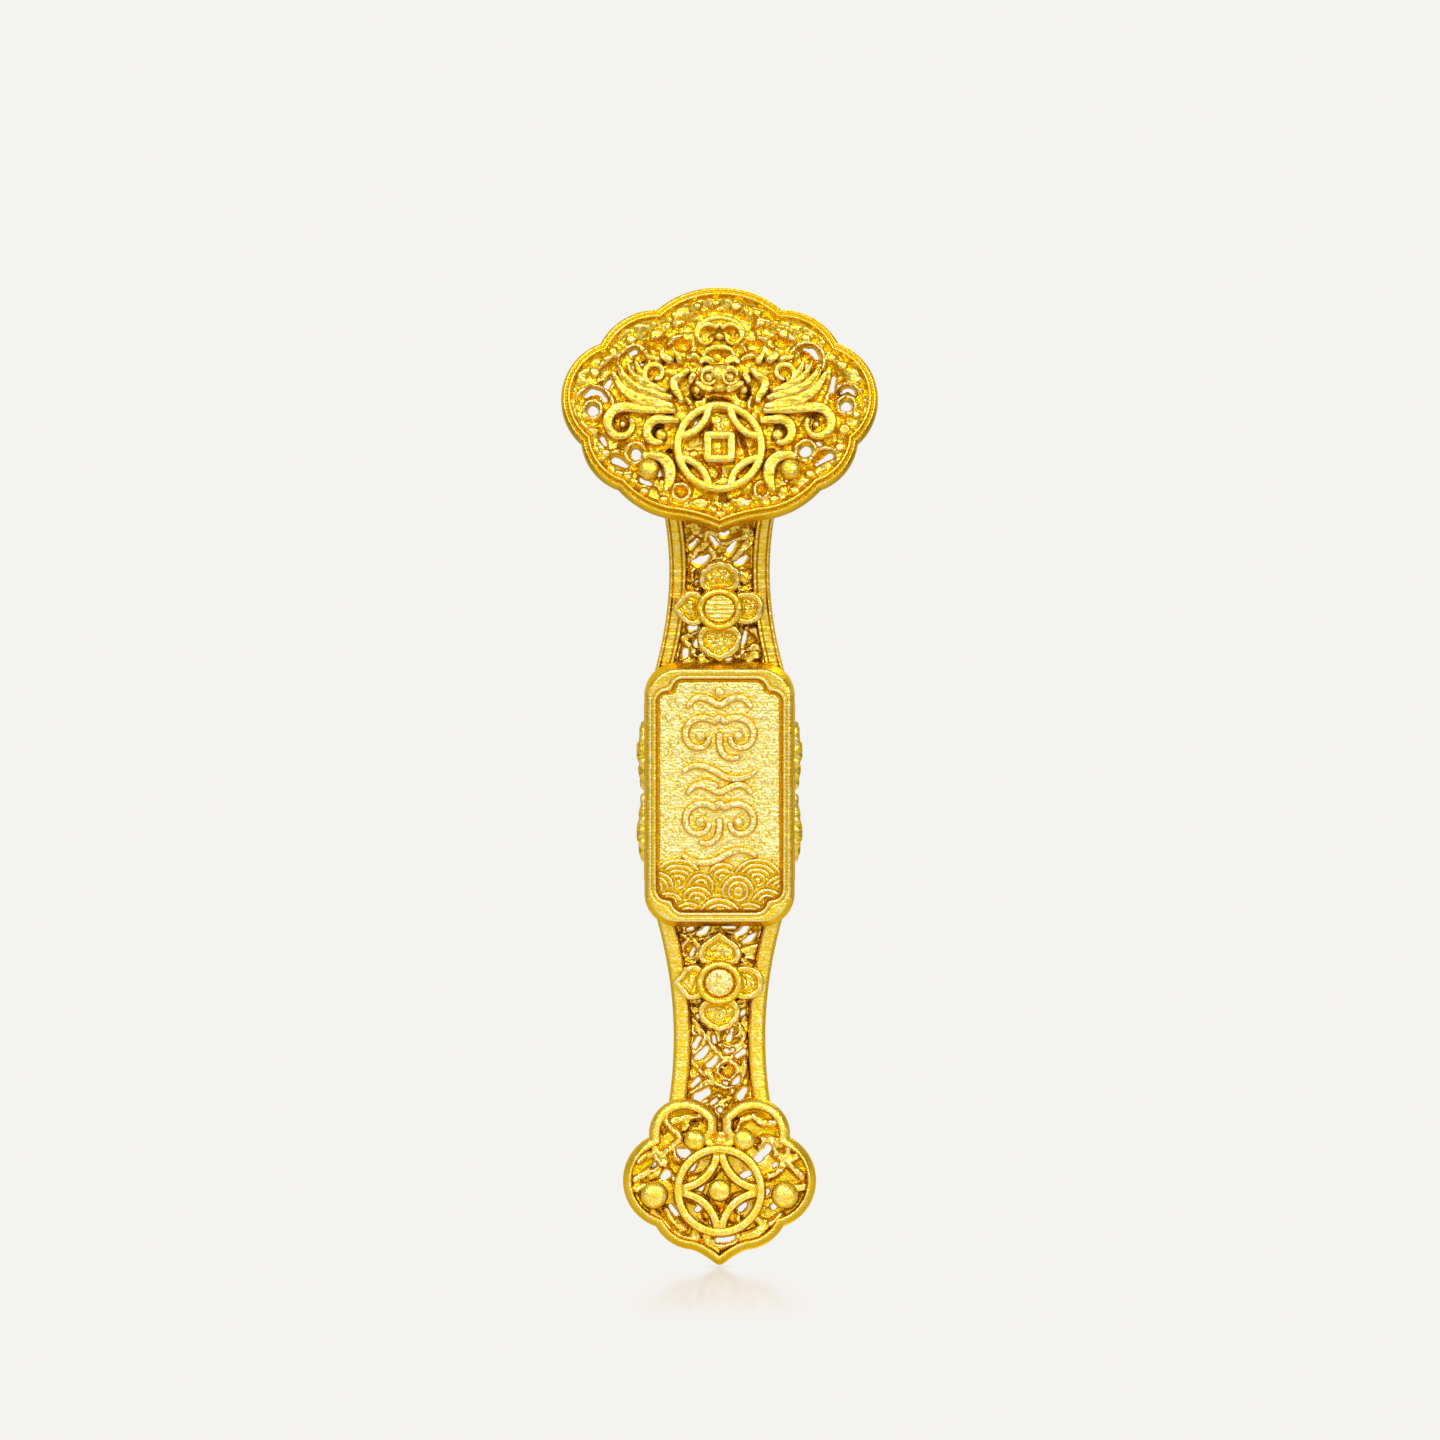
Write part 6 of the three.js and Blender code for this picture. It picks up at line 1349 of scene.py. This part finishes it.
# Tail: the rim with two curls at its top
tailForm = {
    "width": 19.8, "height": 17.0, "step": 0.14, "crown": (0, 0.6), "reach": 41.3, "forward": 3.7,
    "lobes": [(0.055, 0.63, 0.0), (0.012, 0.74, 0.1), (0.014, 0.87, 0.0), (0.09, 0.98, 0.1),
              (0.728, 0.646, 0.355), (0.657, -0.428, 0.33), (0.293, -0.705, 0.125), (0, -0.89, -0.05)],
    # below a height the tip is drawn out, then blunted over so many rounds
    "tipFrom": -6.2, "tipDrop": 0.24, "dropFade": 1.3, "tipRounds": 12, "roundFade": 0.6,
    # the ground's outline is closed between the curls
    "groundCrown": (0, 0.82), "groundLobes": 3,
    "section": [(0.25, 0.02), (0.0, 0.3), (0.0, 1.2), (0.05, 1.66), (0.2, 2.05), (0.42, 2.34), (0.62, 2.54),
                (0.76, 2.58), (0.88, 2.48), (0.97, 2.1), (1.0, 1.2), (1.1, 0.8), (1.5, 0.7), (1.53, 0.05)],
    # lifts of the section's points on the curls, whose face is flatter and wider above a height
    "curlFrom": 4.2, "curlFade": 1.5, "curlWiden": 0.22,
    "curlLifts": (0, 0, 0.3, 0.34, 0.3, 0.18, 0.04, 0, 0.04, 0.1, 0, 0, 0, 0),
}
tailLean = (stemBend[-1]["end"] - stemBend[-1]["start"]) / stemBend[-1]["radius"]
tailSpot = stemPlace(0.0, -tailForm["reach"], tailForm["forward"]) / mm
tailPlace = leaningPlace(tailSpot[1], tailSpot[2], tailLean)
tailLoop = lobedOutline(tailForm)
tipShare = np.clip((tailForm["tipFrom"] - tailLoop[:, 1]) / tailForm["dropFade"], 0, 1)
tailLoop[:, 1] -= tailForm["tipDrop"] * tipShare
for _ in range(tailForm["tipRounds"]):
    share = np.clip((tailForm["tipFrom"] - tailLoop[:, 1:]) / tailForm["roundFade"], 0, 1)
    tailLoop = tailLoop + share * ((np.roll(tailLoop, 1, 0) + np.roll(tailLoop, -1, 0)) / 2 - tailLoop)
tailCurl = np.clip((tailLoop[:, 1] - tailForm["curlFrom"]) / tailForm["curlFade"], 0, 1)
tailLifts = softSection(np.stack((tailForm["curlLifts"], tailForm["curlLifts"]), 1))[:, 0]
tailRim = rimShell(tailLoop, softSection(tailForm["section"]), tailPlace, wobble=0.01,
                   widen=1 + tailForm["curlWiden"] * tailCurl, lifts=tailLifts, share=tailCurl)
makePiece("tail_rim", [tailRim], "bright_gold")

# Tail ground: thin ragged bars from the ring and beads to the rim, over a low floor with holes
tailGround = {
    "pitch": 0.1, "inset": 0.8, "floor": 1.05, "back": 0.62, "bank": 0.3, "bankWide": 0.8, "crumb": 0.1,
    "grit": 0.06, "cell": 0.7, "pit": 0.2, "pits": [], "patches": [],
    "broad": 1.75, "lift": 0.95, "flat": 0.18,
    "holes": [
        ([(-2.6, 6.9), (-2.4, 6.85)], 0.3), ([(-5.65, 6.0), (-5.6, 6.1)], 0.2),
        ([(-3.85, 4.1), (-3.5, 3.8)], 0.5), ([(-2.8, 2.3), (-2.45, 3.1)], 0.25),
        ([(-5.7, 1.4), (-5.4, 1.7)], 0.36), ([(-6.9, 2.4), (-6.6, 2.7)], 0.18),
        ([(-3.9, 0.4), (-3.8, 0.7)], 0.26), ([(-1.9, 0.2), (-1.8, 0.6)], 0.24),
        ([(-5.0, -1.5), (-4.4, -2.3)], 0.22), ([(-0.75, -3.2), (-0.6, -3.4)], 0.26),
        ([(1.2, 6.4), (1.7, 7.2)], 0.22), ([(3.9, 3.2), (4.9, 4.3)], (0.38, 0.42)),
        ([(3.6, 5.2), (3.8, 5.1)], 0.24), ([(5.6, 2.6), (5.75, 2.7)], 0.2),
        ([(0.0, 3.8), (0.5, 3.6)], (0.4, 0.26)), ([(2.0, 1.35), (3.0, 1.75)], 0.28),
        ([(4.75, -0.2), (4.9, 0.0)], 0.26), ([(5.5, -1.7), (5.7, -1.5)], 0.28),
        ([(-0.1, -5.0), (1.1, -4.8)], (0.3, 0.38)), ([(2.2, -1.8), (2.6, -1.4)], 0.3),
        ([(-2.3, -1.9), (-2.0, -1.5)], 0.26),
    ],
    "bars": [
        ([(-5.5, 8.0), (-5.65, 7.15), (-4.75, 6.25), (-4.0, 5.5), (-4.15, 4.75), (-4.45, 3.85),
          (-4.3, 3.1)], 0.26, 1.4),
        ([(-8.3, 3.1), (-7.0, 3.85), (-6.1, 3.5), (-5.35, 4.15), (-4.3, 5.0)], 0.26, 1.35),
        ([(-6.1, 3.0), (-5.8, 2.9)], 0.42, 1.5),
        ([(-5.95, 2.95), (-7.3, 1.9), (-8.6, 1.1)], 0.26, 1.4),
        ([(-5.95, 2.95), (-5.2, 1.75), (-4.7, 1.2)], 0.26, 1.4),
        ([(-5.95, 2.95), (-6.0, 1.75), (-7.0, 1.4)], 0.22, 1.2),
        ([(-7.2, 5.4), (-6.85, 4.6), (-6.25, 3.85)], 0.24, 1.3),
        ([(-4.6, 7.15), (-3.4, 7.45), (-2.0, 7.6)], 0.26, 1.2),
        ([(-3.6, 6.4), (-3.0, 6.9), (-3.2, 7.6)], 0.24, 1.1),
        ([(3.6, 7.6), (4.5, 6.85), (5.6, 6.85)], 0.28, 1.3),
        ([(3.9, 5.0), (5.4, 5.35), (6.2, 4.8)], 0.28, 1.4), ([(4.5, 4.9), (5.1, 4.7)], 0.55, 1.4),
        ([(4.8, 4.9), (5.9, 3.55), (7.1, 3.1), (8.3, 3.7)], 0.27, 1.4),
        ([(6.5, 3.2), (6.3, 2.05), (5.0, 1.45)], 0.26, 1.35), ([(6.9, 2.95), (8.4, 1.4)], 0.26, 1.4),
        ([(1.6, 6.2), (2.0, 7.0), (2.9, 7.5)], 0.28, 1.2),
        ([(7.4, 5.0), (6.9, 4.2), (7.0, 3.2)], 0.24, 1.2), ([(-7.6, 0.4), (-8.6, 0.2)], 0.3, 1.3),
        ([(7.8, 0.2), (8.8, 0.4)], 0.3, 1.3),
        ([(-6.8, -2.2), (-5.95, -3.3), (-5.3, -3.9)], 0.28, 1.4),
        ([(-5.35, -1.85), (-4.6, -3.0), (-3.7, -3.8)], 0.27, 1.4),
        ([(-4.6, -4.4), (-3.4, -5.1), (-2.5, -4.8), (-2.5, -4.2)], 0.27, 1.3),
        ([(-2.5, -4.2), (-2.2, -5.4)], 0.27, 1.3), ([(-1.3, -4.5), (-1.2, -5.7), (-0.4, -6.3)], 0.27, 1.4),
        ([(-0.6, -5.3), (0.2, -5.75), (1.4, -5.3), (1.85, -4.5)], 0.27, 1.4),
        ([(2.1, -4.85), (3.8, -4.4), (4.5, -3.6)], 0.34, 1.35),
        ([(3.8, -2.9), (5.1, -3.5), (6.3, -2.6)], 0.27, 1.4),
        ([(4.5, -1.5), (5.3, -1.1), (6.0, -1.0)], 0.27, 1.3),
        ([(0.0, 4.6), (0.1, 5.4)], (0.8, 0.5), 1.2), ([(0.0, 2.9), (-1.2, 1.4), (-2.9, 1.0)], 0.36, 1.1),
        ([(0.4, -0.4), (1.6, 0.6), (3.4, 0.3)], 0.36, 1.0),
        ([(-0.2, -0.6), (0.4, -2.0), (1.8, -2.9)], 0.36, 1.0),
        ([(-3.0, -0.6), (-1.4, -1.0), (-1.2, -2.4)], 0.36, 1.0),
    ],
}
tailGroundLoop = lobedOutline({**tailForm, "crown": tailForm["groundCrown"],
                               "lobes": tailForm["lobes"][tailForm["groundLobes"]:]})
makePiece("tail_openwork", [groundSheet(tailGround, tailGroundLoop, tailPlace, 31)], "cast_gold")

# Tail: a ring with four bowed bars and a boss, flat on top
medallionForm = {
    "radius": 4.24, "half": 0.56, "base": 2.1, "rise": 1.4, "root": 0.8, "flank": 0.34, "sides": 22,
    "bow": 4.07, "reach": 4.29, "bowStart": 182, "bowSweep": 86, "boss": 1.15, "wobble": 0.03,
}


# Its shells: ribbons along the ring and along a bow about a far centre, turned by quarters, and a dome
def medallionShells(form, place):
    ringLine = spiral((0, 0), (form["radius"],) * 2, 90, 360)
    bow = spiral((form["reach"],) * 2, (form["bow"],) * 2, form["bowStart"], form["bowSweep"])
    shells = [ribbonShell(path, form["half"], form["base"], form["rise"], form["root"], place, form["flank"],
                          form["sides"], form["wobble"])
              for path in (ringLine, *(quarterTurn(bow, k) for k in range(4)))]
    boss = domeProfile(foot=1.3, base=2.9, rise=0.5)
    return shells + [turnedShell(boss, (0, 0), (form["boss"],) * 2, place, wobble=form["wobble"])]


makePiece("tail_medallion", medallionShells(medallionForm, tailPlace), "bright_gold")

# Tail: beads of (place, radius) on both hands, domes on a wall that grows with the radius
beadForms = {"side": ((6.65, -0.45), 1.4), "curl": ((2.5, 5.15), 1.12)}
for side, hand in ((1, "right"), (-1, "left")):
    for kind, (spot, radius) in beadForms.items():
        dome = domeProfile(foot=1.0, base=2.2 + 0.5 * radius, rise=0.55 * radius, steps=14)
        bead = turnedShell(dome, handed([spot], side)[0], (radius, radius), tailPlace, wobble=0.03, seed=17)
        makePiece(f"tail_bead_{kind}_{hand}", [bead], "bright_gold")

# The saddle behind the head keeps its solid
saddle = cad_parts["neck_saddle"].data
saddle.materials.clear()
saddle.materials.append(finishes["satin_gold"])
print("pieces done")


# Stage: a pale floor just under the tail's tip that fades into a pale world; sizes in metres
stageForm = {
    "pale": (0.905, 0.896, 0.863), "radius": 0.15, "shade": (0.76, 0.74, 0.68), "shadeReach": 0.001,
    "mirror": (0.31, 0.30, 0.28), "mirrorFrom": 0.047, "mirrorReach": 0.072, "mirrorRoughness": 0.14,
    "sides": 64, "gap": 0.00002,
}
tipHeight = cadBox[0].z


# The backdrop's output: one shader for the rays that see it, which are camera, glossy and transmission rays,
# and another for the light that it gives. The share is the largest of the three rays' marks
def seenOrLit(nodes, links, seen, lit, output):
    path = nodes.new("ShaderNodeLightPath")
    share = path.outputs["Is Camera Ray"]
    for ray in ("Is Glossy Ray", "Is Transmission Ray"):
        either = nodes.new("ShaderNodeMath")
        either.operation = "MAXIMUM"
        links.new(share, either.inputs[0])
        links.new(path.outputs[ray], either.inputs[1])
        share = either.outputs[0]
    mix = nodes.new("ShaderNodeMixShader")
    links.new(share, mix.inputs[0])
    links.new(lit.outputs[0], mix.inputs[1])
    links.new(seen.outputs[0], mix.inputs[2])
    links.new(mix.outputs[0], nodes.new(output).inputs["Surface"])


# Floor: where it is seen, pale times a painted shade near the tip, which stands in for the tail's shadow,
# times what the mirror leaves, plus a faint mirrored tail that fades with the distance from the origin.
# Otherwise a plain pale surface
def floorFinish(form):
    material = bpy.data.materials.new("pale_floor")
    material.use_nodes = True
    nodes, links = material.node_tree.nodes, material.node_tree.links
    nodes.clear()
    near = nodes.new("ShaderNodeAmbientOcclusion")
    near.inputs["Distance"].default_value = form["shadeReach"]
    near.samples = 32
    far = nodes.new("ShaderNodeVectorMath")
    far.operation = "LENGTH"
    links.new(nodes.new("ShaderNodeTexCoord").outputs["Object"], far.inputs[0])
    reach = form["mirrorFrom"], form["mirrorReach"]
    fade = graded(nodes, links, far.outputs["Value"], reach, (1, 0), "SMOOTHSTEP")
    mirrored = colourMix(nodes, links, fade, (0, 0, 0), form["mirror"])
    kept = colourMix(nodes, links, fade, (1, 1, 1), 1 - np.array(form["mirror"]))
    # Painted shadow: the glowing floor goes over to the shade colour where the tip is near
    shaded = colourMix(nodes, links, near.outputs["AO"], form["shade"], form["pale"])
    glow = nodes.new("ShaderNodeEmission")
    links.new(colourMix(nodes, links, 1, shaded, kept, "MULTIPLY"), glow.inputs["Color"])
    gloss = nodes.new("ShaderNodeBsdfGlossy")
    gloss.inputs["Roughness"].default_value = form["mirrorRoughness"]
    links.new(mirrored, gloss.inputs["Color"])
    seen = nodes.new("ShaderNodeAddShader")
    links.new(glow.outputs[0], seen.inputs[0])
    links.new(gloss.outputs[0], seen.inputs[1])
    lit = nodes.new("ShaderNodeBsdfDiffuse")
    lit.inputs["Color"].default_value = (*form["pale"], 1)
    seenOrLit(nodes, links, seen, lit, "ShaderNodeOutputMaterial")
    return material


angle = np.linspace(0, 2 * math.pi, stageForm["sides"], endpoint=False)
rim = np.stack((stageForm["radius"] * np.cos(angle), stageForm["radius"] * np.sin(angle),
                0 * angle + tipHeight - stageForm["gap"]), 1)
floorMesh = bpy.data.meshes.new("floor")
floorMesh.from_pydata(rim.tolist(), [], [list(range(stageForm["sides"]))])
floorMesh.materials.append(floorFinish(stageForm))
floor = bpy.data.objects.new("floor", floorMesh)
bpy.context.scene.collection.objects.link(floor)

# World: pale to the camera. To the metal it is the same pale studio, graded: strongest in front and behind,
# weaker at the sides, rising with height. A pale band lies just above the horizon, but for the front, so that
# the floor mirrors the backdrop from all sides. Each ramp is (direction from -1 to 1, level)
worldForm = {
    "strength": 1.8,
    "side": ((-1.0, 1.0), (0.0, 0.92), (1.0, 0.74)),
    "height": ((-1.0, 0.18), (-0.6, 0.22), (-0.3, 0.32), (-0.1, 0.5), (0.05, 0.64), (0.35, 0.76),
               (1.0, 1.0)),
    "depth": ((-1.0, 1.0), (-0.88, 0.92), (-0.6, 0.5), (0.0, 0.3), (0.5, 0.5), (0.85, 0.9), (1.0, 0.95)),
    "horizon": ((-1.0, 0.0), (-0.04, 0.0), (0.01, 1.0), (0.13, 1.0), (0.24, 0.0), (1.0, 0.0)),
    "horizonDepth": ((-1.0, 0.0), (-0.85, 0.0), (-0.55, 1.0), (1.0, 1.0)),
}


# A grade: a level for each direction along one axis, eased between the ramp's stops
def worldGrade(nodes, links, value, stops):
    ramp = nodes.new("ShaderNodeValToRGB")
    ramp.color_ramp.interpolation = "EASE"
    for spot, _ in stops[1:-1]:
        ramp.color_ramp.elements.new((spot + 1) / 2)
    for element, (spot, level) in zip(ramp.color_ramp.elements, stops):
        element.position, element.color = (spot + 1) / 2, (level, level, level, 1)
    links.new(graded(nodes, links, value, (-1, 1)), ramp.inputs["Fac"])
    return ramp.outputs["Color"]


# The studio's light: pale times its strength and the three grades, mixed with the band by the product of the
# band's two grades
def studioWorld(form, pale):
    world = bpy.data.worlds.new("studio")
    world.use_nodes = True
    nodes, links = world.node_tree.nodes, world.node_tree.links
    nodes.clear()
    way = nodes.new("ShaderNodeSeparateXYZ")
    links.new(nodes.new("ShaderNodeTexCoord").outputs["Generated"], way.inputs[0])
    axes = {"height": "Z", "depth": "Y", "side": "X", "horizon": "Z", "horizonDepth": "Y"}
    grades = {key: worldGrade(nodes, links, way.outputs[axis], form[key]) for key, axis in axes.items()}
    light = colourMix(nodes, links, 1, grades["height"], grades["depth"], "MULTIPLY")
    light = colourMix(nodes, links, 1, light, grades["side"], "MULTIPLY")
    light = colourMix(nodes, links, 1, light, form["strength"] * np.array(pale), "MULTIPLY")
    band = nodes.new("ShaderNodeMath")
    band.operation = "MULTIPLY"
    links.new(grades["horizon"], band.inputs[0])
    links.new(grades["horizonDepth"], band.inputs[1])
    light = colourMix(nodes, links, band.outputs[0], light, pale)
    toCamera = nodes.new("ShaderNodeLightPath").outputs["Is Camera Ray"]
    seen, lit = nodes.new("ShaderNodeBackground"), nodes.new("ShaderNodeBackground")
    links.new(colourMix(nodes, links, toCamera, light, pale), seen.inputs["Color"])
    lit.inputs["Color"].default_value = (*pale, 1)
    seenOrLit(nodes, links, seen, lit, "ShaderNodeOutputWorld")
    return world


bpy.context.scene.world = studioWorld(worldForm, stageForm["pale"])

# Lamps: place and size in metres, power in watts
lampForms = {
    "key": {"place": (-0.2, -0.48, 0.40), "size": (0.16, 0.11), "power": 1.1},
    "second": {"place": (0.28, -0.5, 0.26), "size": (0.11, 0.14), "power": 0.8},
    "back": {"place": (0.1, 0.4, 0.34), "size": (0.3, 0.2), "power": 0.6},
}
for name, lamp in lampForms.items():
    light = bpy.data.lights.new(name, "AREA")
    light.shape = "RECTANGLE"
    light.size, light.size_y = lamp["size"]
    light.energy = lamp["power"]
    item = bpy.data.objects.new(name, light)
    spot = np.array(lamp["place"])
    item.location = spot
    item.rotation_euler = Vector(-spot).to_track_quat("-Z", "Y").to_euler()
    bpy.context.scene.collection.objects.link(item)

# Camera: a long lens aimed from a little above. The frame is what it sees at the ornament's face, in metres
cameraForm = {"lens": 200.0, "sensor": 36.0, "frame": 0.14694, "middle": (0.00005, -0.006, 0.00755),
              "rise": math.radians(3)}
camera = bpy.data.cameras.new("camera")
camera.lens, camera.sensor_width = cameraForm["lens"], cameraForm["sensor"]
viewer = bpy.data.objects.new("camera", camera)
bpy.context.scene.collection.objects.link(viewer)
distance = cameraForm["frame"] * cameraForm["lens"] / cameraForm["sensor"]
middle = np.array(cameraForm["middle"])
away = np.array((0, -math.cos(cameraForm["rise"]), math.sin(cameraForm["rise"])))
viewer.location = middle + distance * away
viewer.rotation_euler = Vector(-away).to_track_quat("-Z", "Y").to_euler()
bpy.context.scene.camera = viewer
bpy.context.scene.view_settings.view_transform = "Standard"
print("stage, lamps and camera ready")
